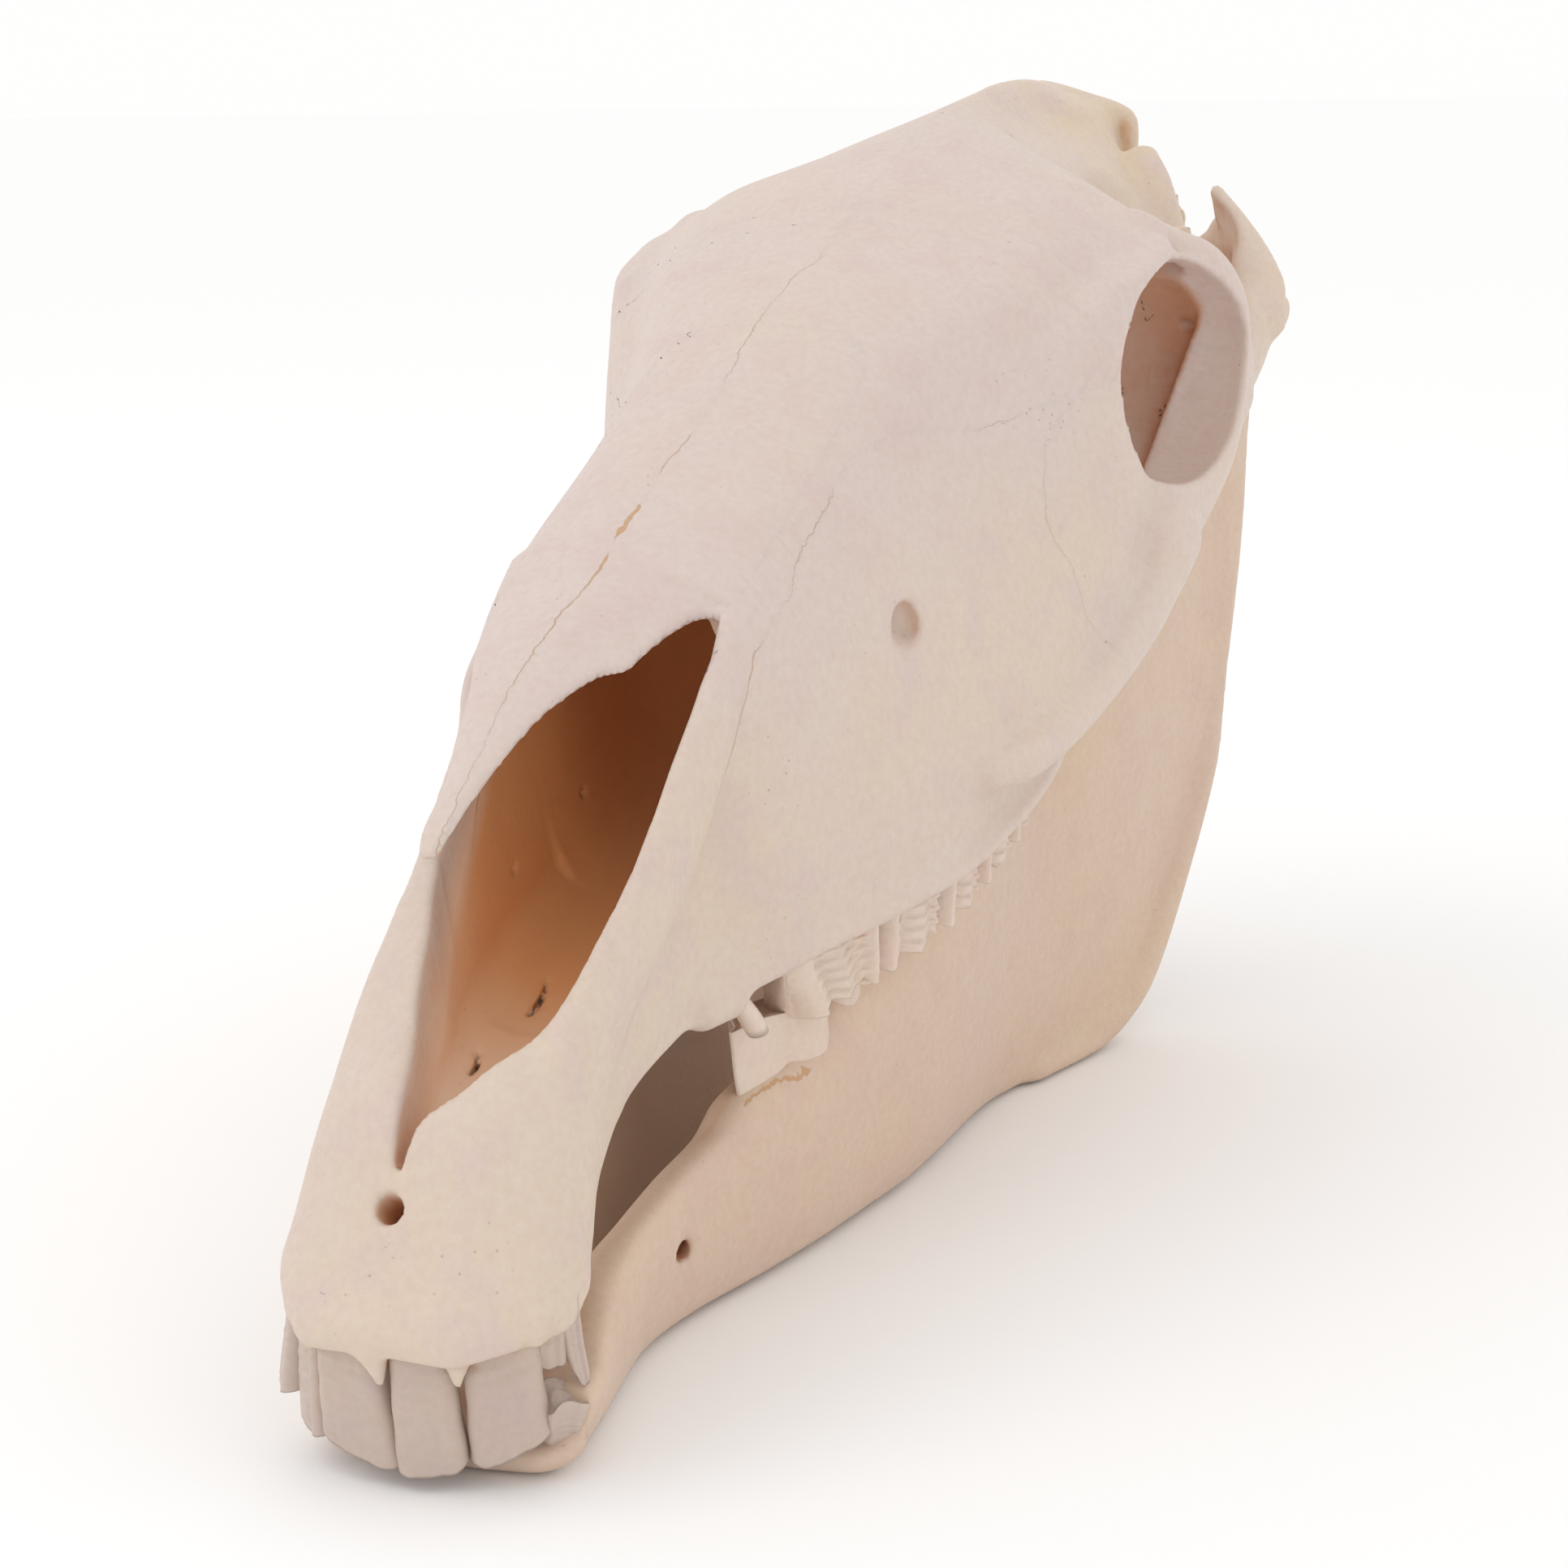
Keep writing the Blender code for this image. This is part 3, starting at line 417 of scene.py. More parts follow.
skull.carve(((40, 340, 50), (110, 442, 128), inner_orbit), 1.0)
skull.carve(rippled(ball((88, 388, 88), (35, 40.5, 33), (0, -11, -13.6)), 0.3, (1.7, 1.7)), 0.7)
for fold in ([(52, 408, 112), (51, 398, 92), (56, 380, 66)],
             [(60, 418, 112), (59, 410, 90), (64, 392, 62)]):
    skull.join(rod(fold, 2.2), 6)

# Notch over the jaw's joint, the temple, the nerve's opening in the cheek and the spinal opening
skull.carve(ball((76, 467, 106), (12.5, 14, 16)), 0.8)
skull.carve(ball((53, 482, 121), (15, 27, 22)), 5)
skull.carve(rod([(64, 216, 75), (59, 225, 73.5), (55, 231, 73)], [4.4, 4.4, 3.8], [6.8, 6, 5]), 1.5)
skull.carve(rod([(62, 206, 64), (60, 218, 70), (56, 228, 73)], [2.6, 3.2, 3.5], [4, 4.5, 4.5]), 3)
skull.carve(rod([(0, 570, 52), (0, 525, 56), (0, 505, 62)], [17, 15, 10], [16, 15, 9]), 2)


# ======== Both halves together
# From here on the cranium is worked whole, because the nose leans a little to its right and the
# breaks and notches are on one side only.

def whole(block, share=None):
    """The block and its mirror image across the middle, as one block; the image's widths may be
    drawn in to a share that changes along u."""
    mirrored = block.value
    if share is not None:
        at = block.axes[0][:, None] / share(block.axes[1])[None, :] / block.step
        i = np.minimum(at.astype(int), len(mirrored) - 2)
        t = np.clip(at - i, 0, 1).astype(np.float32)[:, :, None]
        j = np.arange(mirrored.shape[1])[None, :]
        mirrored = mirrored[i, j] * (1 - t) + mirrored[i + 1, j] * t
    far = [a[-1] for a in block.axes]
    both = Block((-far[0], block.low[1], block.low[2]), far, block.step)
    both.axes = [np.concatenate([-block.axes[0][:0:-1], block.axes[0]]), block.axes[1], block.axes[2]]
    both.value = np.concatenate([mirrored[:0:-1], block.value], axis=0)
    return both


RIGHT_SHARE = rail({0: 0.955, 45: 0.96, 70: 0.985, 90: 0.965, 115: 0.96, 150: 0.985, 200: 0.965,
                    240: 0.93, 280: 0.9, 310: 0.94, 345: 1.0, 385: 1.03, 403: 1.03, 420: 0.98,
                    445: 0.96, 480: 0.98, 560: 1.0})
head = whole(skull, RIGHT_SHARE)


SLOT_LEFT = rail({22: -4.7, 26: -4.3, 32: -3.3, 38: -1.8, 41: 0.6, 45: 6.5, 51: 12, 58: 17.8,
                  65: 22, 73: 25, 83: 27.5, 96: 30, 110: 31.5, 125: 32.8, 140: 33, 165: 31})
SLOT_RIGHT = rail({22: -4.7, 26: -5.3, 30: -5.4, 41: -6.6, 50: -8, 58: -10, 70: -14, 85: -17.5,
                   100: -22, 115: -24.5, 138: -27, 165: -28})
SLOT_FLOOR = rail({22: 32, 26: 23, 30: 17.5, 37: 13, 50: 11, 110: 11, 135: 12})
SLOT_RIM = rail({22: 12, 45: 25, 65: 34, 83: 46, 110: 60, 140: 80, 165: 92})
SLOT_LEAN, SLOT_LEAN_DEPTH, SLOT_LEAN_FROM = 0.32, 30, 40


def front_slot(x, u, z):
    """Distance to the opening between the two incisive bones, which ends in a slit: the largest of
    those to its left and right walls and to its floor. The left wall leans in under its rim."""
    lean = SLOT_LEAN * np.clip(SLOT_RIM(u).astype(np.float32) - z, 0, SLOT_LEAN_DEPTH)
    walls = np.maximum(x + lean * (u > SLOT_LEAN_FROM) - SLOT_LEFT(u).astype(np.float32),
                       SLOT_RIGHT(u).astype(np.float32) - x)
    floor_gap = SLOT_FLOOR(u).astype(np.float32) + 0.012 * x * x - z
    return (smooth_max(walls, floor_gap, 5.0) * 0.9).astype(np.float32)


# Left nasal process, the opening itself and two slits through the palate
head.join(rod([(27, 62, 29), (30.5, 88, 44), (33, 110, 56), (34.5, 130, 70), (35, 150, 83),
               (33, 172, 94)], [4, 4.5, 4.8, 4.8, 4.2, 2.5], [9, 11, 12, 12, 10, 5]), 6)
head.carve(((-34, 22, 10), (42, 166, 106), front_slot), 2.0)
for a, b in ((-14, 130, 11), (-11.8, 113, 10)), ((-15, 92, 12), (-12.4, 82, 11.5)):
    middle = tuple((p + q) / 2 + bend for p, q, bend in zip(a, b, (1, 0, 0)))
    head.carve(rod([a, middle, b], [0.5, 0.8, 0.5], 12, up=(0.46, -0.76, 0.46)), 0.5)

# Flat outer side of the right nasal process, and the canal between the incisive bones
head.carve(rod([(-38.6, 96, 59), (-37.2, 111, 70.5), (-36.4, 131, 82), (-36.4, 143, 93.5),
                (-37, 150, 101)], 8), 4)
head.carve(rod([(-4.6, 19, 20), (-4.6, 25.5, 11.5), (-4.6, 33, 3)], [3.8, 3.6, 2.6], up=(1, 0, 0)), 1.0)

# Hole through the back of the orbit, notches in its rim and two small openings in the palate
head.carve(rod([(80.8, 421, 90), (79, 433, 87)], [3.6, 3.0], [2.4, 2.2]), 0.6)
head.carve(ball((80, 361, 103), (2.6, 2.4, 1.5), (20, 0, 0)), 0.5)
head.carve(ball((79.5, 358, 98), (2.8, 3.0, 1.3), (20, 0, 0)), 0.5)
head.carve(ball((80, 354, 94.5), (2.6, 2.4, 1.1)), 0.5)
for spot in [(-29.5, 147, 34), (-31, 191, 34)]:
    head.carve(ball(spot, (4, 1.5, 1.3), (0, 0, 30)), 0.5)

# Points of bone that reach down between the front teeth
for x, u, z, tip in [(-3.0, 5.5, -12, (-0.6, 2.6, -20.5)), (17.0, 9.5, -12, (17.6, 5.8, -20.5)),
                     (-19.5, 8.5, -11, (-20.4, 6.0, -16)), (33.0, 19, -9, (33.6, 17, -14))]:
    head.join(rod([(x, u, z), tip], [4.2, 0.9], up=(0, 1, 0)), 2.5)


# ======== Nasal bones
# Two thin plates that roof the nose and taper to two points over its opening: an arch whose top falls
# away from the middle by a square law, as thick as a nasal bone, within its outline seen from above.

MIDDLE = rail({20: -3.0, 68: -1.2, 76: -1.0, 86: -1.7, 103: -2.8, 120: -3.8, 152: -3.0, 172: -1.6,
               196: -1.9, 213: -2.4, 227: -1.2, 260: -0.9, 283: -2.1, 313: -2.2, 326: 1.3,
               363: 1.2, 420: 0.0})
NASAL_LEFT = rail({70: 0.6, 75: 1.6, 80: 2.4, 88.5: 3.8, 100: 5.6, 112: 8.4, 124: 12.6, 133: 16.2,
                   135.5: 18.0, 138.5: 21.0, 142.6: 22.1, 150: 23.4, 157.4: 25.3, 163: 27.0,
                   166.5: 29.5, 168.5: 33, 171: 38})
NASAL_RIGHT = rail({66.5: 3.0, 69: 5.5, 77: 7.6, 83: 7.0, 103: 10.2, 124: 15.0, 137: 20.4,
                    144: 22.6, 150: 24.5, 158: 27, 168: 30, 186: 34})
NASAL_Z = rail({64: 82, 79: 89, 103: 96, 123: 102, 141: 106, 174: 112, 185: 115})
NASAL_THICKNESS = 3.0
NASAL_ARCH = 0.30                 # fall of the arch at its edge, as a share of its half width
NASAL_FRONT, NASAL_BACK = 67, 186


def nasal_plate(x, u, z):
    """Distance to the arched plate: the larger of those to its faces and to its outline."""
    off = x - MIDDLE(u).astype(np.float32)
    left, right = NASAL_LEFT(u).astype(np.float32), NASAL_RIGHT(u).astype(np.float32)
    width = np.where(off > 0, left, right)
    top = NASAL_Z(u).astype(np.float32) - NASAL_ARCH * off * off / np.maximum((left + right) / 2, 6.0)
    faces = np.abs(z - top + NASAL_THICKNESS / 2) - NASAL_THICKNESS / 2
    outline = np.maximum(np.abs(off) - width, np.maximum(NASAL_FRONT - u, u - NASAL_BACK))
    return smooth_max(faces * 0.9, outline * 0.8, 1.4).astype(np.float32)


head.join(((-42, 64, 70), (42, 188, 120), nasal_plate), 2.5)


# ======== Reading a surface off a block
# Each bone is a label on the block's points. A corner of the skin stands in each cell that holds more
# than one label, so neighbouring bones share their walls exactly, and is then drawn onto the surface.

def sample(values, at):
    """Values between the points of a grid, by three-way linear interpolation."""
    top = np.array(values.shape) - 2
    base = np.clip(np.floor(at).astype(int), 0, top)
    part = (at - base).astype(np.float32)
    flat = values.ravel()
    strides = np.array([values.shape[1] * values.shape[2], values.shape[2], 1])
    start = base @ strides
    total = np.zeros(len(at), np.float32)
    for i in (0, 1):
        for j in (0, 1):
            for k in (0, 1):
                weight = (np.abs(1 - i - part[:, 0]) * np.abs(1 - j - part[:, 1])
                          * np.abs(1 - k - part[:, 2]))
                total += weight * flat[start + i * strides[0] + j * strides[1] + k]
    return total


def slope_of(values, at, reach=0.7):
    """Gradient of a grid's values at points between them, by central differences."""
    change = [sample(values, at + s) - sample(values, at - s) for s in np.eye(3) * reach]
    return np.stack(change, axis=1) / (2 * reach)


def skins(values, labels):
    """Corners, in grid units, and for each label its four-sided faces with a mark on inner walls."""
    cells, low_label, high_label, crossing = [], [], [], []
    strides = np.array([values.shape[1] * values.shape[2], values.shape[2], 1])
    for axis in range(3):
        lower = [slice(None)] * 3
        upper = [slice(None)] * 3
        lower[axis], upper[axis] = slice(None, -1), slice(1, None)
        a, b = labels[tuple(lower)], labels[tuple(upper)]
        differ = a != b
        at = np.argwhere(differ)
        la, lb = a[differ], b[differ]
        va, vb = values[tuple(lower)][differ], values[tuple(upper)][differ]
        surface = (la == 0) | (lb == 0)
        t = np.where(surface, np.clip(va / np.where(va == vb, 1, va - vb), 0.02, 0.98), 0.5)
        point = at.astype(np.float32)
        point[:, axis] += t
        second, third = strides[(axis + 1) % 3], strides[(axis + 2) % 3]
        base = at @ strides
        cells.append(np.stack([base, base - second, base - second - third, base - third], axis=1))
        low_label.append(la)
        high_label.append(lb)
        crossing.append(np.column_stack([point, np.where(surface, 1.0, 1e-4)]))
    cells, crossing = np.concatenate(cells), np.concatenate(crossing)
    la, lb = np.concatenate(low_label), np.concatenate(high_label)
    corner = np.unique(cells.ravel(), return_inverse=True)[1].reshape(-1, 4)
    weight = np.repeat(crossing[:, 3], 4)
    total = np.bincount(corner.ravel(), weight)
    place = np.stack([np.bincount(corner.ravel(), np.repeat(crossing[:, k], 4) * weight) / total
                      for k in range(3)], axis=1)
    on_surface = total > 0.5                    # corners of inner walls weigh next to nothing
    for _ in range(3):
        moving = place[on_surface]
        g = slope_of(values, moving)
        step = sample(values, moving)[:, None] * g / np.maximum((g * g).sum(axis=1), 1e-3)[:, None]
        place[on_surface] = moving - np.clip(step, -0.4, 0.4)
    faces = {}
    for label in np.unique(labels):
        if label:
            out, back = la == label, lb == label
            loops = np.concatenate([corner[out], corner[back][:, ::-1]])
            wall = np.concatenate([lb[out] != 0, la[back] != 0])
            faces[int(label)] = (loops, wall)
    return place, faces


# ======== Lower jaw
# Both halves of the mandible, grown together at the chin: a slab that leans outwards, thick under the
# teeth and thin as a board at the back, with the joint's head and the flat muscle process on top.

JAW_TOP_Z = rail({14: -44, 20: -42, 25: -31, 32: -30, 45: -29, 60: -27.5, 86: -28.5, 106: -29.5,
                  131: -31, 145: -26, 165: -27, 177: -26, 185: -20, 195: -16, 235: -14.5, 325: -13,
                  345: -8, 365: 4, 385: 16, 400: 28, 415: 40, 430: 56, 443: 74, 452: 77, 461: 74,
                  473: 64})
JAW_LOW_Z = rail({14: -58, 30: -64, 60: -66.6, 90: -73, 150: -88, 200: -101, 250: -113, 290: -123,
                  320: -134, 362: -144.5, 385: -142, 410: -127, 430: -104, 446: -76, 457: -35,
                  465: 0, 473: 40})
JAW_TOP_X = rail({14: 27, 22: 35.5, 30: 36, 40: 32.5, 50: 29, 60: 26, 80: 24, 106: 24, 131: 25.5,
                  145: 28, 167: 32, 185: 35, 198: 37, 235: 42, 325: 47, 362: 58, 405: 69, 440: 76,
                  473: 79.5})
JAW_LOW_X = rail({14: 13, 22: 15, 30: 18, 50: 19, 60: 18, 90: 15, 150: 24, 200: 30, 230: 33,
                  300: 34, 333: 40, 385: 52, 430: 62, 446: 69.5, 457: 77, 465: 79.5, 473: 80})
JAW_HALF_THICKNESS = rail({14: 9, 22: 9.5, 30: 9.5, 50: 9.5, 60: 9.5, 90: 8, 120: 8, 150: 10,
                           190: 12, 235: 12.5, 300: 10, 345: 7, 400: 5, 440: 6, 473: 8})


def jaw_section(u):
    """A rounded slab that leans from its lower border to its upper one."""
    turn = np.linspace(0, 2 * math.pi, 36, endpoint=False)[:, None]
    across = np.sign(np.cos(turn)) * np.abs(np.cos(turn)) ** 0.7
    rise = np.sign(np.sin(turn)) * np.abs(np.sin(turn)) ** 0.8
    middle_x, lean = (JAW_TOP_X(u) + JAW_LOW_X(u)) / 2, (JAW_TOP_X(u) - JAW_LOW_X(u)) / 2
    middle_z, half_height = (JAW_TOP_Z(u) + JAW_LOW_Z(u)) / 2, (JAW_TOP_Z(u) - JAW_LOW_Z(u)) / 2
    x = middle_x + lean * rise + JAW_HALF_THICKNESS(u) * across
    return np.stack([x, middle_z + half_height * rise], axis=2)


FLOOR_GAP = 0.5


def floor_side(x, u, z):
    """Distance above a plane just over the floor, which the lower border is worn flat on."""
    height = u * math.sin(PITCH) + z * math.cos(PITCH) + DATUM[2]
    return (height - FLOOR_GAP).astype(np.float32) + 0 * x


JAW_GRAIN = 1.65                  # the jaw's plainer sides do with points further apart
jaw_half = Block((0, -4, -154), (110, 488, 126), JAW_GRAIN)
jaw_half.value = loft_field(jaw_half, jaw_section, 14, 473, coarse=1)

# Flat muscle process, neck and head of the joint, thick rear border, chin and the nerve's opening
jaw_half.join(rod([(67, 434, 56), (68, 446, 80), (70, 455, 98), (71, 462, 108)],
                  [4, 3.5, 3, 2.4], [13, 10, 8, 5]), 5)
jaw_half.join(rod([(78, 459, 38), (77, 468, 50), (75.5, 472, 59)], [6.5, 9, 11], [9, 8, 6],
                  up=(0, 1, 0)), 6)
jaw_half.join(rod([(60, 476, 60), (72, 474, 61), (84, 472, 60)], [5.5, 6.5, 5.5], [5, 5.5, 5]), 4)
jaw_half.join(rod([(41, 330, -130), (48, 362, -137), (57, 393, -130), (64, 424, -104), (71, 446, -72),
                   (75, 454.5, -38), (77, 462, -5)], [7, 8, 8, 7, 6, 3, 2], [6, 7, 8, 7, 6, 3, 2]), 5)
jaw_half.join(rod([(0, 18, -55), (0, 45, -54), (0, 75, -54), (0, 92, -55)],
                  [22, 24, 18, 12], [8, 12, 15, 10]), 6)
jaw_half.carve(rod([(32, 98, -46.5), (24, 108, -50), (16, 120, -52)], [2.6, 2.6, 2.4],
                   [3.2, 3.2, 3]), 0.7)
jaw = whole(jaw_half, rail({0: 0.87, 40: 0.9, 75: 1.0, 500: 1.0}))
jaw.value = smooth_max(jaw.value, -floor_side(*np.ix_(*jaw.axes)), 4.0)


# ======== Bones of the cranium
# Nasal, incisive, maxillary, zygomatic, frontal bones and the braincase, parted along their sutures.
# A suture is where an outline seen from the side, or a line along the middle, changes sign.

def outline(points):
    """Signed distance to a closed outline of (u, z) points, below zero inside."""
    points = np.array(points, float)

    def distance(u, z):
        nearest, inside = 1e9, False
        for a, b in zip(points, np.roll(points, -1, axis=0)):
            e = b - a
            t = np.clip(((u - a[0]) * e[0] + (z - a[1]) * e[1]) / (e @ e), 0, 1)
            nearest = np.minimum(nearest, (u - a[0] - t * e[0]) ** 2 + (z - a[1] - t * e[1]) ** 2)
            crosses = (a[1] > z) != (b[1] > z)
            rise = e[1] if abs(e[1]) > 1e-6 else 1e-6
            inside = inside ^ (crosses & (u < a[0] + (z - a[1]) / rise * e[0]))
        return np.sqrt(nearest) * np.where(inside, -1, 1)

    return distance


def wiggle(s, size):
    """The small irregular waves of a suture along a length s: three sines that never fall in step."""
    return size * (0.5 * np.sin(s * 1.9 + 1) + 0.35 * np.sin(s * 1.07 + 2.2) + 0.4 * np.sin(s * 0.43))


FACE_LINE = [(104, -70), (112, 20), (120, 44), (126.5, 52.9), (133.5, 60.5), (144, 69.7), (148.7, 74.6),
             (153.4, 79.6), (161.3, 85.5), (167.4, 90.8), (173, 91.5), (183.4, 94.8), (191.5, 96.9),
             (202.8, 103.5), (210.4, 104.9), (224.4, 108.4), (230, 110.8), (239.8, 112.7),
             (247.3, 113.4), (256.8, 113.4), (268, 112.1), (278.4, 109.1), (295, 103), (330, 101)]
FACE = outline([(-30, -70)] + FACE_LINE + [(345, 108), (360, 200), (-30, 200)])
NASAL = outline([(50, 66), (104, 79), (150, 92), (160, 94.5), (165.6, 101), (171, 102.5), (177.6, 102.8),
                 (190, 99), (202.8, 103.5), (210.4, 104.9), (224.4, 108.4), (239.8, 112.7), (262, 122),
                 (285, 133), (285, 180), (50, 180)])
ZYGOMATIC = outline([(309, 4), (309.9, 33.1), (303.8, 43.4), (305.4, 57.8), (301.3, 68.1), (301.5, 74.2),
                     (304.9, 80.2), (312, 92), (330, 101), (352, 100), (395, 74), (430, 83), (440, 106),
                     (455, 106), (455, 20), (380, 8)])
BRAINCASE = outline([(355, -70), (600, -70), (600, 180), (462, 180), (462, 106), (355, 100)])
TEMPLE = outline([(450, -70), (600, -70), (600, 170), (458, 170), (458, 132), (450, 132)])

NASAL_HALF_WIDTH, CASE_HALF_WIDTH, CHEEK_FROM_X = 34, 66, 62
INCISIVE_BACK, MAXILLA_BACK = 200, 362

BONES = ["nasal_left", "nasal_right", "incisive", "zygomatic_left", "zygomatic_right",
         "maxilla_left", "maxilla_right", "braincase", "frontal_left", "frontal_right"]


def bone_fields(x, u, z):
    """For each bone but the last, a number below zero where the bone may be, in order of claim."""
    rough = wiggle(u + 0.7 * z, 0.5)
    middle = x - MIDDLE(u) - wiggle(u, 0.3)
    face = FACE(u, z) + rough
    nasal = np.maximum(NASAL(u, z) + rough, np.abs(x) - NASAL_HALF_WIDTH + rough)
    incisive = np.maximum(face, u - INCISIVE_BACK) + 0 * x
    zygomatic = ZYGOMATIC(u, z) + rough
    maxilla = np.maximum(-face, u - MAXILLA_BACK + rough)
    case = np.minimum(np.maximum(BRAINCASE(u, z) + rough, np.abs(x) - CASE_HALF_WIDTH),
                      TEMPLE(u, z) + rough)
    return [np.maximum(nasal, -middle), np.maximum(nasal, middle), incisive,
            np.maximum(zygomatic, CHEEK_FROM_X - x), np.maximum(zygomatic, CHEEK_FROM_X + x),
            np.maximum(maxilla, -middle), np.maximum(maxilla, middle), case, -middle + 0 * z]


labels = np.full(head.value.shape, len(BONES), np.uint8)
claims = bone_fields(*np.ix_(*head.axes))
for number in range(len(claims), 0, -1):
    labels[np.broadcast_to(claims[number - 1] < 0, labels.shape)] = number
labels[head.value >= 0] = 0


# ======== Open sky
# How much of the sky each point of the bone sees, which the bone's colour uses for painted warm shade
# in its hollows. Rays are walked through a coarse map of where there is bone.

SOLID_LOW, SOLID_STEP = np.array([-116.0, -12.0, -160.0]), 2.5
solid = np.zeros((94, 232, 132), bool)
for block in (head, jaw):
    at = [np.clip(np.round((a - low) / SOLID_STEP).astype(int), 0, n - 1)
          for a, low, n in zip(block.axes, SOLID_LOW, solid.shape)]
    filled = np.argwhere(block.value < -0.4)
    solid[at[0][filled[:, 0]], at[1][filled[:, 1]], at[2][filled[:, 2]]] = True


RAYS = 26
GOLDEN_ANGLE = 2.39996
RAY_STOPS = (5, 8, 12, 17, 23, 31, 42, 56)
LIFT = 1.5                        # rays start this far off the surface


def open_sky(points, normals):
    """Share of the directions over each point, weighted by their cosine, that meet no bone."""
    turn = np.arange(RAYS) * GOLDEN_ANGLE
    height = 1 - (np.arange(RAYS) + 0.5) * 2 / RAYS
    ring = np.sqrt(1 - height ** 2)
    total, free = np.zeros(len(points), np.float32), np.zeros(len(points), np.float32)
    for way in np.stack([ring * np.cos(turn), ring * np.sin(turn), height], axis=1):
        weight = np.maximum(normals @ way, 0.0)
        clear = np.ones(len(points), bool)
        for reach in RAY_STOPS:
            at = ((points + normals * LIFT + way * reach - SOLID_LOW) / SOLID_STEP + 0.5).astype(int)
            inside = np.all((at >= 0) & (at < solid.shape), axis=1)
            at = np.where(inside[:, None], at, 0)
            clear &= ~(solid[at[:, 0], at[:, 1], at[:, 2]] & inside)
        total += weight
        free += weight * clear
    return free / np.maximum(total, 1e-3)


# ======== Bone
# Bleached, degreased bone: pale and faintly pink, yellower towards the back and at the margins, with
# painted warm shade in deep hollows, pores, faint mottling and brown hairlines where sutures run.

def wire(tree, kind, props, sockets):
    """A shader node with its properties set and its inputs fed with values or other outputs."""
    node = tree.nodes.new("ShaderNode" + kind)
    for key, value in props.items():
        setattr(node, key, value)
    for key, value in sockets.items():
        if isinstance(value, bpy.types.NodeSocket):
            tree.links.new(value, node.inputs[key])
        else:
            node.inputs[key].default_value = value
    return node


def math_node(tree, operation, *values):
    """The result of one arithmetic step."""
    return wire(tree, "Math", {"operation": operation}, dict(enumerate(values))).outputs[0]


def times(tree, value, amount):
    """A value multiplied by an amount."""
    return math_node(tree, "MULTIPLY", value, amount)


def mix_colour(tree, amount, first, second, blend="MIX"):
    """First colour turned into the second by an amount."""
    return wire(tree, "MixRGB", {"blend_type": blend}, {0: amount, 1: first, 2: second}).outputs[0]


def noise_node(tree, where, scale, detail=3.0, rough=0.55):
    """Fractal noise about 0.5."""
    return wire(tree, "TexNoise", {}, {"Vector": where, "Scale": scale, "Detail": detail,
                                       "Roughness": rough}).outputs[0]


def swing(tree, noise, amount):
    """Noise about 0.5 made to swing about zero, over an amount."""
    return times(tree, math_node(tree, "SUBTRACT", noise, 0.5), amount)


def ramp_value(tree, value, low, high):
    """Zero under low, one over high and straight between."""
    return wire(tree, "MapRange", {}, {0: value, 1: low, 2: high, 3: 0.0, 4: 1.0}).outputs[0]


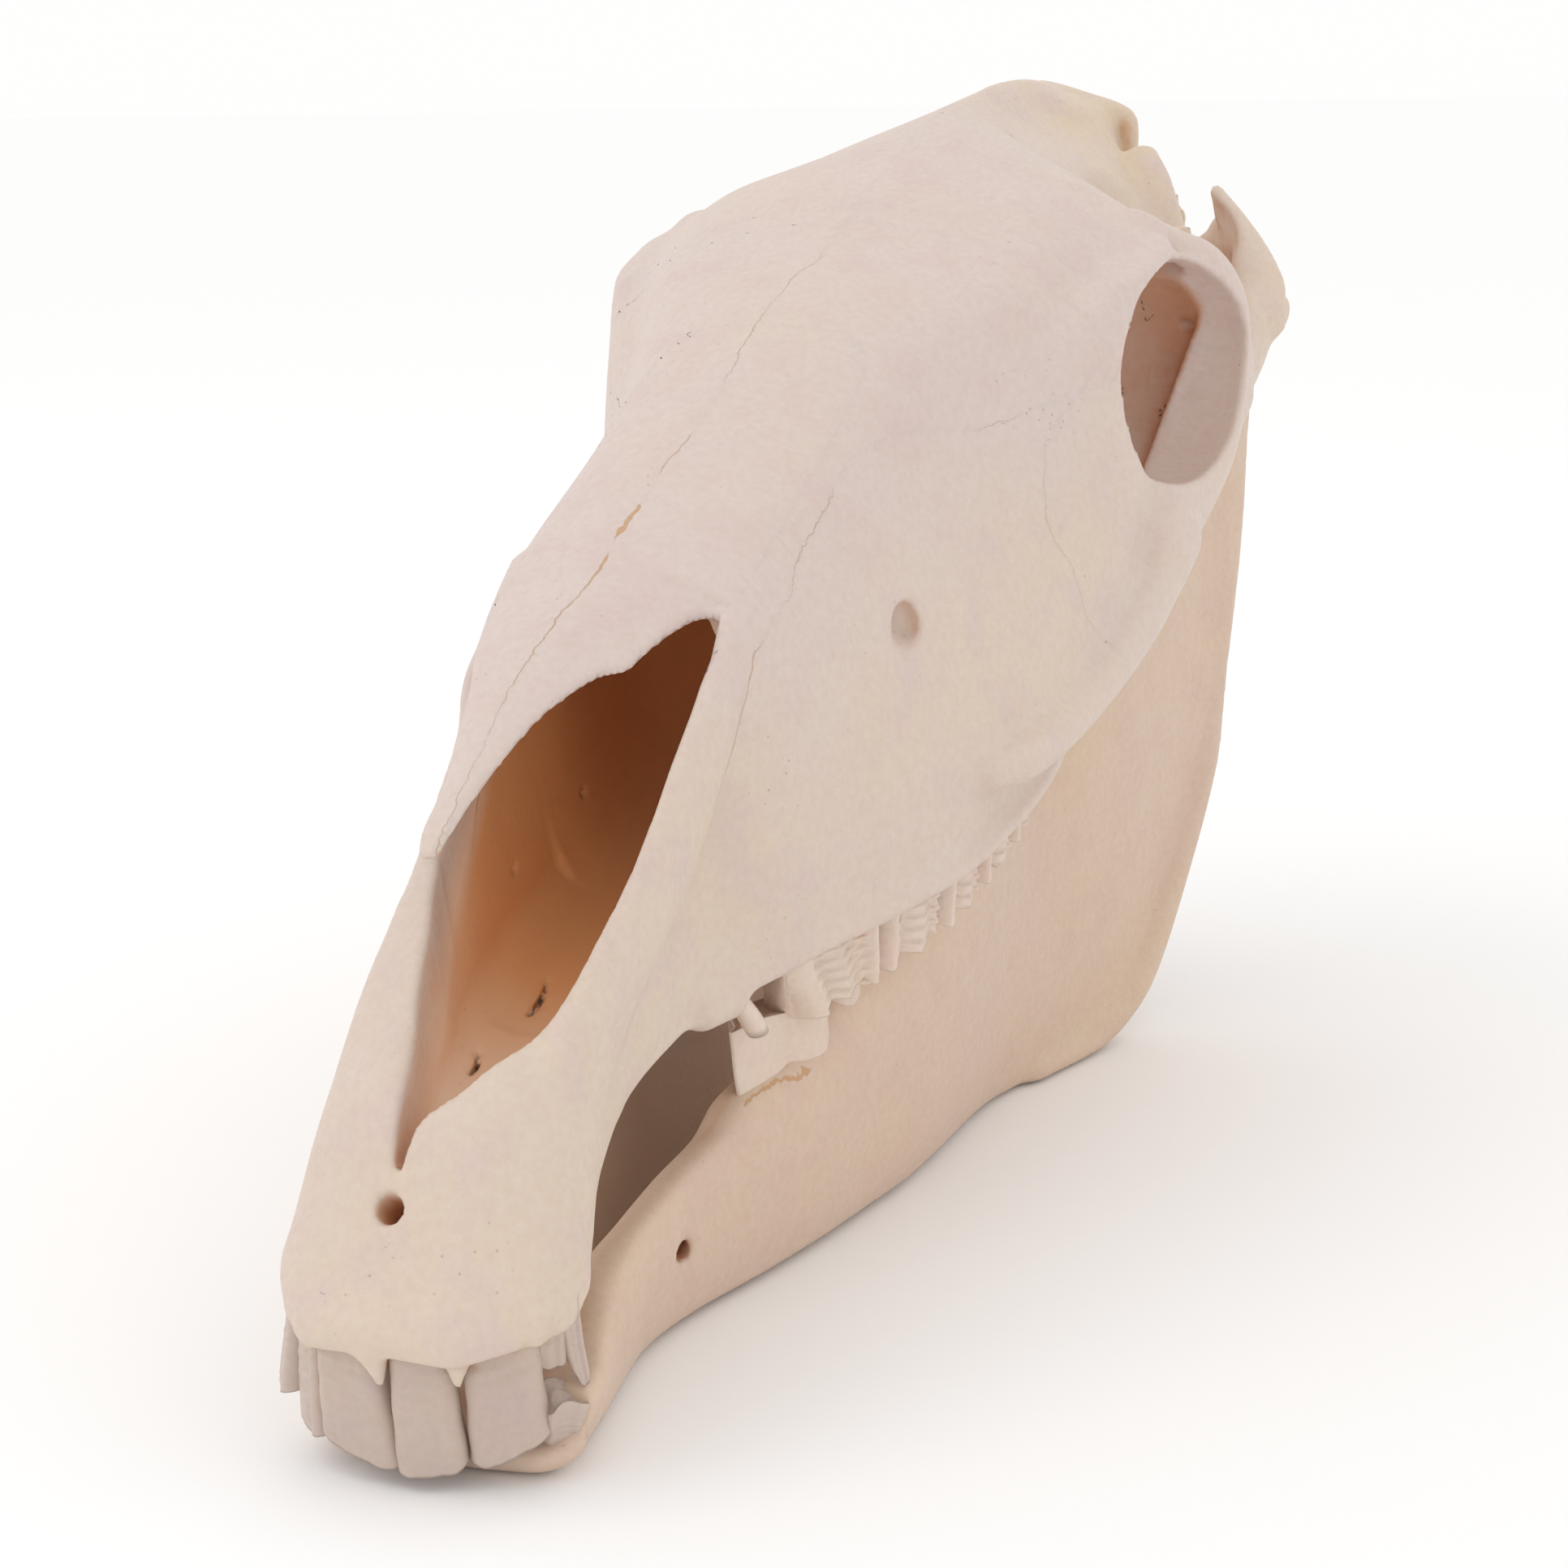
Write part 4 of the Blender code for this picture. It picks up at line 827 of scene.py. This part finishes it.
def bone_material(name, base, aged, hollow_shade, gloss):
    """Bone or tooth: base colour, yellower colour, colour of the painted shade in the hollows, and
    roughness.
    """
    material = bpy.data.materials.new(name)
    material.use_nodes = True
    tree = material.node_tree
    surface = tree.nodes["Principled BSDF"]
    where = wire(tree, "TexCoord", {}, {}).outputs["Object"]
    read = {key: wire(tree, "Attribute", {"attribute_name": key}, {}).outputs["Fac"]
            for key in ("sky", "age", "inside", "middle", "middle_wide", "side", "side_wide")}
    broad = noise_node(tree, where, 14.0, 2.0)
    patch = noise_node(tree, where, 55.0, 3.0)
    grain = noise_node(tree, where, 420.0, 4.0, 0.65)
    yellow = math_node(tree, "ADD", read["age"], swing(tree, broad, 1.4))
    colour = mix_colour(tree, ramp_value(tree, yellow, 0.0, 1.0), base, aged)
    rosy = mix_colour(tree, ramp_value(tree, patch, 0.48, 0.75), colour,
                      (base[0] * 0.985, base[1] * 0.94, base[2] * 0.95, 1))
    mottled = mix_colour(tree, ramp_value(tree, grain, 0.35, 0.8), rosy, (0.93, 0.91, 0.88, 1),
                         "MULTIPLY")
    # Painted shade: the colour is multiplied towards a warm brown where the point sees little sky
    deep = math_node(tree, "POWER", ramp_value(tree, read["sky"], 0.62, 0.02), 1.25)
    tinted = mix_colour(tree, deep, mottled, hollow_shade, "MULTIPLY")
    # Painted warm shade and bounce light where the inside value is high: in the nasal cavity and on the
    # jaw's inner side
    tinted = mix_colour(tree, ramp_value(tree, read["inside"], 0.0, 0.5), tinted, (0.90, 0.69, 0.53, 1))
    tinted = mix_colour(tree, ramp_value(tree, read["inside"], 0.5, 1.0), tinted, (0.86, 0.47, 0.22, 1))

    # Pores: the middles of scattered cells, only where a broad noise allows
    cells = wire(tree, "TexVoronoi", {}, {"Vector": where, "Scale": 420.0, "Randomness": 1.0})
    allowed = ramp_value(tree, noise_node(tree, where, 38.0, 2.0), 0.52, 0.7)
    pore = times(tree, ramp_value(tree, cells.outputs["Distance"], 0.17, 0.07), allowed)
    lot = wire(tree, "SeparateColor", {}, {0: cells.outputs["Color"]}).outputs[0]
    pore = times(tree, pore, ramp_value(tree, lot, 0.62, 0.66))
    spotted = mix_colour(tree, times(tree, pore, 0.45), tinted, (0.42, 0.27, 0.16, 1))

    # Sutures: where the carried distance to the line, shaken by noise, is less than its half width
    shake = math_node(tree, "ADD", swing(tree, noise_node(tree, where, 130.0, 2.0), 3.2),
                      swing(tree, noise_node(tree, where, 620.0, 2.0), 1.3))
    seam = None
    for key in ("middle", "side"):
        off = math_node(tree, "ABSOLUTE", math_node(tree, "ADD", read[key], shake))
        line = ramp_value(tree, math_node(tree, "SUBTRACT", read[key + "_wide"], off), -0.12, 0.12)
        seam = line if seam is None else math_node(tree, "MAXIMUM", seam, line)
    seamed = mix_colour(tree, times(tree, seam, 0.85), spotted, (0.56, 0.31, 0.14, 1))
    tree.links.new(seamed, surface.inputs["Base Color"])

    height = math_node(tree, "ADD", times(tree, grain, 0.35), times(tree, patch, 0.9))
    height = math_node(tree, "SUBTRACT", height, times(tree, pore, 0.8))
    height = math_node(tree, "SUBTRACT", height, times(tree, seam, 0.5))
    bump = wire(tree, "Bump", {}, {"Strength": 0.55, "Distance": 0.0006, "Height": height})
    tree.links.new(bump.outputs[0], surface.inputs["Normal"])
    dull = wire(tree, "MapRange", {}, {0: grain, 1: 0.3, 2: 0.7, 3: gloss - 0.06, 4: gloss + 0.08})
    tree.links.new(dull.outputs[0], surface.inputs["Roughness"])
    surface.inputs["Specular IOR Level"].default_value = 0.35
    surface.inputs["Subsurface Weight"].default_value = 0.12
    surface.inputs["Subsurface Radius"].default_value = (1.0, 0.6, 0.4)
    surface.inputs["Subsurface Scale"].default_value = 0.003
    return material


bone, jaw_bone, ivory, shaded_front_ivory = [bone_material(*row) for row in (
    ("bone", (0.685, 0.575, 0.53, 1), (0.71, 0.58, 0.445, 1), (0.95, 0.62, 0.40, 1), 0.5),
    # The jaw's colour is darker than the cranium's: partly painted shade of the jaw under the cranium,
    # partly its own yellower tone
    ("jaw_bone", (0.675, 0.52, 0.42, 1), (0.70, 0.54, 0.39, 1), (0.93, 0.62, 0.42, 1), 0.52),
    ("tooth_ivory", (0.76, 0.635, 0.55, 1), (0.76, 0.60, 0.46, 1), (0.72, 0.42, 0.20, 1), 0.36),
    # A darker copy of the tooth ivory: painted shade of the incisors' lip faces, which turn from the
    # light
    ("shaded_front_tooth_ivory", (0.565, 0.47, 0.43, 1), (0.60, 0.465, 0.36, 1), (0.62, 0.38, 0.20, 1), 0.34))]


# ======== The bones' meshes
# The outside takes its shading from the block's own slope, so that no border shows between bones but
# the sutures that the material draws.

def build_mesh(name, corners, normals, loops, wall, attributes):
    """A mesh from arrays, smooth outside and flat on its inner walls, with values at each corner."""
    used, loops = np.unique(loops.ravel(), return_inverse=True)
    loops = loops.reshape(-1, 4)
    mesh = bpy.data.meshes.new(name)
    mesh.vertices.add(len(used))
    mesh.vertices.foreach_set("co", corners[used].astype(np.float32).ravel())
    mesh.loops.add(loops.size)
    mesh.loops.foreach_set("vertex_index", loops.ravel().astype(np.int32))
    mesh.polygons.add(len(loops))
    mesh.polygons.foreach_set("loop_start", np.arange(0, loops.size, 4, dtype=np.int32))
    mesh.update(calc_edges=True)
    mesh.polygons.foreach_set("use_smooth", ~wall)
    mesh.normals_split_custom_set_from_vertices(normals[used].tolist())
    for key, values in attributes.items():
        layer = mesh.attributes.new(key, "FLOAT", "POINT")
        layer.data.foreach_set("value", values[used].astype(np.float32))
    obj = bpy.data.objects.new(name, mesh)
    bpy.context.scene.collection.objects.link(obj)
    return obj


def facing(block, place):
    """Unit normals of the block's surface, in the skull's frame."""
    g = slope_of(block.value, place, 0.9)
    return g / np.maximum(np.linalg.norm(g, axis=1), 1e-6)[:, None]


def turned(normals, way=1):
    """Directions pitched with the skull, or with way -1 pitched back."""
    down, along = way * math.sin(PITCH), math.cos(PITCH)
    return np.stack([normals[:, 0], normals[:, 1] * along - normals[:, 2] * down,
                     normals[:, 1] * down + normals[:, 2] * along], axis=1)


# Half widths of the drawn sutures: below zero the line is gone
MIDDLE_WIDE = rail({60: 0.1, 100: 0.02, 125: 0.12, 150: 0.22, 164: 0.2, 168: 0.5, 173: 0.5,
                    176: -0.1, 181: 0.0, 183: 0.7, 195: 0.6, 198: -0.1, 208: -0.2, 213: 0.1,
                    227: 0.14, 240: -0.3, 262: 0.05, 283: 0.12, 300: 0.0, 313: 0.12, 326: 0.05,
                    345: -0.3, 363: -0.1, 385: -0.7, 560: -1})
SIDE_WIDE = rail({100: -1, 118: -0.4, 127: 0.1, 135: 0.22, 161: 0.2, 168: 0.1, 178: -0.12,
                  191: 0.0, 203: 0.08, 224: 0.08, 236: -0.2, 250: -0.15, 268: -0.1, 282: -0.3,
                  300: 0.05, 312: -0.1, 330: -1})
CAVITY_SHADE_TOP_Z = rail({30: 20, 49: 32, 90: 46, 131: 70, 160: 92, 172: 104, 200: 110})

place, faces = skins(head.value, labels)
points = np.array([a[0] for a in head.axes]) + place * head.step
normals = facing(head, place)
x, u, z = points.T

# Yellower at the back of the skull, low on the face and at the rear of the nasal opening
age = (0.05 + 0.75 * np.clip((u - 440) / 60, 0, 1) + 0.45 * np.clip((105 - z) / 60, 0, 1)
       + 0.25 * np.exp(-((u - 150) / 30) ** 2 - ((z - 60) / 25) ** 2))
face_line, cheek_line = FACE(u, z), ZYGOMATIC(u, z)
side = np.where(np.abs(face_line) < np.abs(cheek_line), face_line, cheek_line)

# Painted warm shade and bounce light: on the walls of the nasal cavity, stronger towards its rear and
# below its rim
depth_in = np.minimum(sample(cavity_whole, np.clip(place, 0, np.array(cavity_whole.shape) - 1.001)),
                      np.where((u < 160) & (z < 100), front_slot(x, u, z), FAR))
inside = (np.clip((4.0 - depth_in) / 2.5, 0, 1) * np.clip(0.35 + (u - 50) / 120, 0.2, 1)
          * np.clip((CAVITY_SHADE_TOP_Z(u) - z) / 20, 0, 1))
outward = np.where(np.abs(x) > 25, np.sign(x) * normals[:, 0], 0)
inside = inside * np.clip(1.4 - 2 * outward, 0, 1)             # the outside of thin walls has none

# Painted shade, darker in the deep part of the orbit and along the bone's edge over the front teeth
shaded = np.clip((2.2 - inner_orbit(np.abs(x), u, z)) / 2, 0, 1) * np.clip((z - 45) / 45, 0.3, 1)
shaded = np.maximum(shaded, 0.55 * np.exp(-((z + 14 + 0.1 * u) / 2.5) ** 2) * (u < 26))
values = {"sky": open_sky(points, normals) * (1 - 0.75 * shaded), "age": age, "inside": inside,
          "middle": np.where(z > 60, x - MIDDLE(u), 9.0), "middle_wide": MIDDLE_WIDE(u),
          "side": side, "side_wide": np.where(z > 20, SIDE_WIDE(u), -1.0)}

REPLACED = {"nasal_left": "nasal_bones", "nasal_right": "nasal_bones", "incisive": "incisive_bone",
            "frontal_left": "frontal_bone", "frontal_right": "frontal_bone", "braincase": "braincase"}

for number, name in enumerate(BONES, start=1):
    if number in faces:
        piece = build_mesh("skin_" + name, to_row(points), turned(normals), *faces[number], values)
        piece.data.materials.append(bone)
        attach(piece, "root")
        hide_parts(REPLACED.get(name, name))

jaw_place, jaw_faces = skins(jaw.value, (jaw.value < 0).astype(np.uint8))
jaw_points = np.array([a[0] for a in jaw.axes]) + jaw_place * jaw.step
jaw_normals = facing(jaw, jaw_place)
x, u, z = jaw_points.T
# Painted shade on the jaw: its inner side, turned to the middle, is warmed through the inside value
jaw_values = {"sky": open_sky(jaw_points, jaw_normals), "middle_wide": -1 - 0 * u,
              "side": np.abs(x) - rail({143: 31.9, 156: 34.9, 167: 38.9, 180: 42.9, 198: 45.9})(u),
              "side_wide": np.where((u > 141) & (u < 170) & (z > -33), 0.3, -1.0),
              "inside": 0.4 * np.clip(-2 * np.sign(x) * jaw_normals[:, 0] - 0.1, 0, 1),
              "age": 0.2 + 0.5 * np.clip((u - 300) / 60, 0, 1) * np.clip((-100 - z) / 30, 0, 1)
              + 0.3 * np.exp(-((z + 26) / 10) ** 2)}
piece = build_mesh("skin_mandible", to_row(jaw_points), turned(jaw_normals), *jaw_faces[1],
                   jaw_values)
piece.data.materials.append(jaw_bone)
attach(piece, "root")
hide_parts("mandible")


# ======== Teeth
# Long columns of ivory-coloured tooth substance that run up into the bone. Each is a stack of rings
# from its root to its worn table, then smaller rings over the table; the ridges on the cheek side and
# the growth lines across them are in the rings themselves.

def build_tooth(name, rings, table, node):
    """Closes a stack of rings (levels, around, xyz) with a root cap and a worn table: the last ring
    is drawn towards its middle in steps of (share of the radius, depth)."""
    last = rings[-1]
    centre = last.mean(axis=0)
    rise = rings[-2].mean(axis=0) - centre
    rise /= np.linalg.norm(rise)
    inner = [centre + (last - centre) * share + rise * depth for share, depth in table]
    stack = np.concatenate([rings, np.array(inner)])
    levels, around = stack.shape[:2]
    base = np.arange(around)
    ahead = np.roll(base, -1)
    quads = [np.stack([base + k * around, ahead + k * around, ahead + (k + 1) * around,
                       base + (k + 1) * around], axis=1) for k in range(levels - 1)]
    corners = to_row(stack.reshape(-1, 3))
    volume = np.cross(stack[0] - centre, np.roll(stack[0], -1, axis=0) - centre).sum(axis=0) @ rise
    faces = [tuple(q) for q in np.concatenate(quads).tolist()]
    faces += [tuple(base[::-1].tolist()), tuple((base + (levels - 1) * around).tolist())]
    if volume > 0:
        faces = [f[::-1] for f in faces]
    mesh = bpy.data.meshes.new(name)
    mesh.from_pydata(corners.tolist(), [], faces)
    mesh.polygons.foreach_set("use_smooth", [True] * len(faces))
    mesh.update()
    normals = np.empty(len(corners) * 3, np.float32)
    mesh.vertices.foreach_get("normal", normals)
    sky = open_sky(stack.reshape(-1, 3), turned(normals.reshape(-1, 3), -1))
    for key, value in (("sky", sky), ("age", 0.25 + 0 * sky), ("middle_wide", 0 * sky - 1),
                       ("side_wide", 0 * sky - 1)):
        mesh.attributes.new(key, "FLOAT", "POINT").data.foreach_set("value", value.astype(np.float32))
    tooth = bpy.data.objects.new(name, mesh)
    bpy.context.scene.collection.objects.link(tooth)
    # Incisors take the darker ivory, painted shade of their lip faces
    mesh.materials.append(shaded_front_ivory if "incisor" in name else ivory)
    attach(tooth, "root")
    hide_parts(node)


INCISOR_AROUND, INCISOR_LEVELS = 72, 56
INCISOR_TABLE = [(0.97, 0.25), (0.9, 0.6), (0.6, 0.9), (0.5, 0.5), (0.42, 0.6), (0.35, 1.3), (0.1, 1.6)]


def incisor(name, top, bottom, half, depth, turn, low_edge, node, seed):
    """A flat tooth between the middles of its lip side at the top and at the bottom: a ring with
    flattened faces, a shallow groove and fine cross lines, ending on a slanting edge.
    half, depth and turn are (top, bottom); low_edge is z along the edge from -1 to 1."""
    around = np.linspace(0, 2 * math.pi, INCISOR_AROUND, endpoint=False)
    s = np.linspace(0, 1, INCISOR_LEVELS)[:, None]
    across = np.sign(np.cos(around)) * np.abs(np.cos(around)) ** 0.5
    out = np.sign(np.sin(around)) * np.abs(np.sin(around)) ** 0.75
    wide = half[0] + (half[1] - half[0]) * s ** 0.8
    deep = depth[0] + (depth[1] - depth[0]) * s
    lip = np.maximum(out, 0)
    groove = 0.55 * np.exp(-((across - 0.22) / 0.2) ** 2) + 0.25 * np.exp(-((across + 0.45) / 0.16) ** 2)
    lines = 0.12 * np.sin(s * 46 + seed + 2 * across) + 0.10 * np.sin(s * 83 + 2 * seed)
    lines = lines * np.exp(-((s - 0.5) / 0.22) ** 2)
    t = wide * across * (1 + 0.012 * np.sin(s * 23 + seed))
    n = deep * (out - 1) - lip * (groove - lines)
    angle = np.radians(turn[0] + (turn[1] - turn[0]) * s)
    x = top[0] + (bottom[0] - top[0]) * s + t * np.cos(angle) + n * np.sin(angle)
    u = (top[1] + (bottom[1] - top[1]) * s - np.sin(math.pi * s) + t * np.sin(angle)
         - n * np.cos(angle))
    edge = np.interp(across, np.linspace(-1, 1, len(low_edge)), low_edge) + 0.8 * (out < 0) * -out
    z = top[2] + (edge - top[2]) * s + 0 * x
    build_tooth(name, np.stack([x, u, z], axis=2), INCISOR_TABLE, node)


UPPER_INCISORS = [
    ("incisor_upper_left_1", (7.6, 9.0, -3), (9.3, 1.2, -43), (6.4, 8.5), (4.5, 4.5), (16, 20),
     [-43.6, -44.5, -44.5, -44.6, -44.5, -44.2, -42.6], 0.4),
    ("incisor_upper_left_2", (25.2, 17.0, -3), (26.6, 8.8, -43), (8.0, 9.8), (4.5, 4.5), (26, 27),
     [-42.6, -43.8, -43.2, -42, -40.6, -39.2, -37.5], 2.1),
    ("incisor_upper_right_1", (-12.6, 9.2, -3), (-10.4, 1.0, -43), (6.0, 10.8), (4.5, 4.5), (-4, -8),
     [-37.8, -39.8, -41.2, -42.2, -43.2, -43.8, -43.6], 3.3),
    ("incisor_upper_right_2", (-25.2, 15.5, -7), (-27.2, 7.6, -42), (5.0, 5.8), (4.5, 4.5), (-36, -38),
     [-40, -40.5, -41, -41.5, -42, -42, -41.5], 5.0),
    ("incisor_upper_right_3", (-32.0, 24, -6), (-38.2, 15.5, -36), (4.2, 5.0), (4.5, 4), (-58, -60),
     [-34, -35, -36, -37, -37, -36.5, -36], 6.2),
    ("broken_incisor_left_3", (35.5, 26, -4), (34.0, 21, -23), (3.2, 4.0), (3, 2.6), (40, 40),
     [-19, -23, -24, -24, -24, -24, -23.5], 7.0),
    ("splinter_incisor_left_3", (37.4, 29.5, -4), (39.4, 25, -30), (3.0, 2.1), (2.4, 1.6), (62, 60),
     [-26, -28, -30.5, -31, -31, -30, -28], 8.2)]
for name, top, bottom, half, depth, turn, low_edge, seed in UPPER_INCISORS:
    incisor(name, top, bottom, half, depth, turn, low_edge, "incisive_bone", seed)

for side, name, corner_top, corner_bottom in ((1, "left", 34, 39.5), (-1, "right", -31, -34.5)):
    incisor("incisor_lower_%s_1" % name, (7.5 * side - 1, 13.5, -50.3), (8.6 * side - 1, 6.2, -45),
            (5.5, 7.6), (4, 4), (14 * side, 14 * side), [-45] * 7, "mandible", 1.0 + side)
    incisor("incisor_lower_%s_2" % name, (21 * side - 1, 17.5, -51.0), (24 * side - 1, 11.2, -44),
            (5.5, 7.2), (4, 4), (28 * side, 28 * side),
            [-44.4, -44.4, -44.2, -43.6, -43, -42, -41][::side], "mandible", 3.0 + side)
    incisor("incisor_lower_%s_3" % name, (corner_top, 21, -47), (corner_bottom, 17.5, -30),
            (4.8, 5.2), (4.5, 5), (46 * side, 50 * side),
            [-33, -30, -29, -29.5, -31, -32, -34][::side], "mandible", 5.0 + side)


# ======== Cheek teeth
# Upper ones show two hollows between three ridges on the cheek side, lower ones two rounded lobes;
# they stand shoulder to shoulder, with gaps as wide as a sheet of paper.

UPPER_FACE_X = rail({150: 41.5, 160: 45.5, 170: 49, 180: 53, 189: 56.5, 195: 58.5, 207: 63,
                     215: 65, 230: 68, 250: 69.5, 270: 70.5, 300: 67.5, 328: 62})
LOWER_FACE_X = rail({143: 31, 156: 34, 167: 38, 180: 42, 198: 45, 235: 46, 280: 48.5, 330: 50.5})
CHEEK_AROUND, CHEEK_LEVELS = 108, 64
CHEEK_TABLE = [(0.97, 0.2), (0.9, 0.9), (0.82, 0.4), (0.72, 1.0), (0.5, 1.2), (0.4, 0.5), (0.2, 0.8)]


def cheek_tooth(name, start, length, width, face, span, ridges, worn, side, node, seed,
                lean=0, hook=0, tilt=0):
    """A square column: the cheek side follows face(u), less a profile interpolated through ridges
    (place along the tooth from 0 to 1, depth); span is the root's and the table's z, and tilt
    brings the table in. The first tooth of a row is a wedge: its front leans back by lean and its
    table rises by hook."""
    turn = np.linspace(0, 2 * math.pi, CHEEK_AROUND, endpoint=False)
    along = np.sign(np.cos(turn)) * np.abs(np.cos(turn)) ** 0.45
    across = np.sign(np.sin(turn)) * np.abs(np.sin(turn)) ** 0.45
    s = np.linspace(0, 1, CHEEK_LEVELS)[:, None]
    at = (along + 1) / 2
    place_at, depth = np.array(ridges).T
    dent = rail(dict(zip(place_at, depth)))(at) * np.clip(across * 3, 0, 1)
    lines = 0.55 * np.sin(s * 40 + seed + 3 * np.sin(at * 9)) + 0.2 * np.sin(s * 83 + 2 * seed - 6 * at)
    lines = lines * np.clip(dent - 0.5, 0.05, 1.4) * np.clip(across * 2, 0, 1)
    u = start + length * (0.5 + along * 0.485) + 0.25 * np.sin(s * 9 + seed) + lean * s * (1 - at)
    taper = np.clip((u - start) / 18, 0.2, 1) if lean or hook else 1
    inner = face(u) - width * taper
    half = width * taper / 2
    x = np.where(across > 0, face(u) - dent + lines - (1 - across) * half, inner + (1 + across) * half)
    end = (span[1] + hook * np.exp(-(at / 0.6) ** 2)
           + np.sign(span[0] - span[1]) * worn * (dent * 0.7 - 1 + 0.35 * np.sin(at * 17 + seed)))
    z = span[0] + (end - span[0]) * s + 0 * x
    rings = np.stack([(x - tilt * s) * side, u, z], axis=2)
    build_tooth(name, rings, CHEEK_TABLE, node)


UPPER_RIDGES = [(0, 2.6), (0.09, 0.0), (0.28, 3.0), (0.45, 0.5), (0.53, 0.7), (0.76, 2.9),
                (0.93, 1.3), (1, 3.0)]
FIRST_RIDGES = [(0, 1.4), (0.10, 0.3), (0.2, 0.3), (0.32, 2.6), (0.44, 2.4), (0.54, 0.0),
                (0.64, 2.8), (0.76, 2.6), (0.86, 0.0), (0.94, 0.4), (1, 3.2)]
LOWER_RIDGES = [(0, 0.6), (0.25, 0.0), (0.44, 0.5), (0.5, 1.2), (0.57, 0.5), (0.78, 0.0), (1, 0.8)]
UPPER_LENGTHS, LOWER_LENGTHS = (42, 27, 26, 25, 25, 24), (42, 29, 27, 27, 27, 27)
WOLF_RINGS = [(14, 2.6, -2), (9, 2.6, -1), (5, 2.7, 1), (1, 2.9, 3), (-3, 3.0, 4.6), (-6, 2.8, 5.6)]
WOLF_TABLE = [(0.9, 1.4), (0.72, 2.6), (0.45, 3.4), (0.2, 3.7)]
around = np.linspace(0, 2 * math.pi, 24, endpoint=False)

for side, name in ((1, "left"), (-1, "right")):
    upper, lower = 153.0, 143.0
    for k, (length, under) in enumerate(zip(UPPER_LENGTHS, LOWER_LENGTHS)):
        cheek_tooth("cheek_tooth_upper_%s_%d" % (name, k + 1), upper, length, 23 if k else 19,
                    UPPER_FACE_X, (10.5, -15.6), UPPER_RIDGES if k else FIRST_RIDGES, 1.2, side,
                    "maxilla_" + name, k + side, lean=0 if k else 13, tilt=4)
        cheek_tooth("cheek_tooth_lower_%s_%d" % (name, k + 1), lower, under, 15, LOWER_FACE_X,
                    (-44, -17.5), LOWER_RIDGES, 0.3, side, "mandible", k - side, hook=0 if k else 10)
        upper, lower = upper + length, lower + under
    rings = np.stack([np.stack([(37.6 - 0.16 * (z + 6) + radius * np.cos(around)) * side,
                                138 + lean + radius * np.sin(around) * 1.2, z + 0 * around], axis=1)
                      for z, radius, lean in WOLF_RINGS])
    build_tooth("wolf_tooth_%s" % name, rings, WOLF_TABLE, "maxilla_" + name)


# ======== Floor, light and camera
# A plain pale floor under an even pale sky, one large soft light from the skull's right, and the
# camera at the photograph's angle.

def add_light(name, place, aim, size, power, colour):
    """A square soft light that faces a point."""
    data = bpy.data.lights.new(name, "AREA")
    data.shape, data.size, data.energy, data.color = "SQUARE", size, power, colour
    lamp = bpy.data.objects.new(name, data)
    lamp.location = place
    lamp.rotation_euler = (Vector(aim) - Vector(place)).to_track_quat("-Z", "Y").to_euler()
    bpy.context.scene.collection.objects.link(lamp)


FAR_OUT = 60                      # metres from the middle of the floor to its sides
floor_mesh = bpy.data.meshes.new("floor")
floor_mesh.from_pydata([(-FAR_OUT, -FAR_OUT, 0), (FAR_OUT, -FAR_OUT, 0), (FAR_OUT, FAR_OUT, 0),
                        (-FAR_OUT, FAR_OUT, 0)], [], [(0, 1, 2, 3)])
floor = bpy.data.objects.new("floor", floor_mesh)
bpy.context.scene.collection.objects.link(floor)
paint = bpy.data.materials.new("floor_paint")
paint.use_nodes = True
paint.node_tree.nodes["Principled BSDF"].inputs["Base Color"].default_value = (0.985, 0.985, 0.985, 1)
paint.node_tree.nodes["Principled BSDF"].inputs["Roughness"].default_value = 0.9
floor_mesh.materials.append(paint)

world = bpy.data.worlds.new("studio")
world.use_nodes = True
world.node_tree.nodes["Background"].inputs["Color"].default_value = (1.0, 0.995, 0.99, 1)
world.node_tree.nodes["Background"].inputs["Strength"].default_value = 1.0
bpy.context.scene.world = world
bpy.context.scene.view_settings.view_transform = "Standard"
add_light("key", (-1.3, -1.0, 2.2), (0, 0, 0.15), 1.6, 7, (1, 0.99, 0.97))

CAMERA_PLACE = (0.3457, -0.8393, 0.3140)
CAMERA_AHEAD = Vector((-0.377, 0.901, -0.215))
CAMERA_RIGHT = Vector((0.924, 0.383, -0.017))
LENS = 72.2
ahead = CAMERA_AHEAD.normalized()
above = CAMERA_RIGHT.cross(ahead).normalized()
right = ahead.cross(above)
lens = bpy.data.cameras.new("camera")
lens.lens = LENS
lens.sensor_width = 36
camera = bpy.data.objects.new("camera", lens)
camera.matrix_world = Matrix((
    (right.x, above.x, -ahead.x, CAMERA_PLACE[0]),
    (right.y, above.y, -ahead.y, CAMERA_PLACE[1]),
    (right.z, above.z, -ahead.z, CAMERA_PLACE[2]),
    (0, 0, 0, 1)))
bpy.context.scene.collection.objects.link(camera)
bpy.context.scene.camera = camera
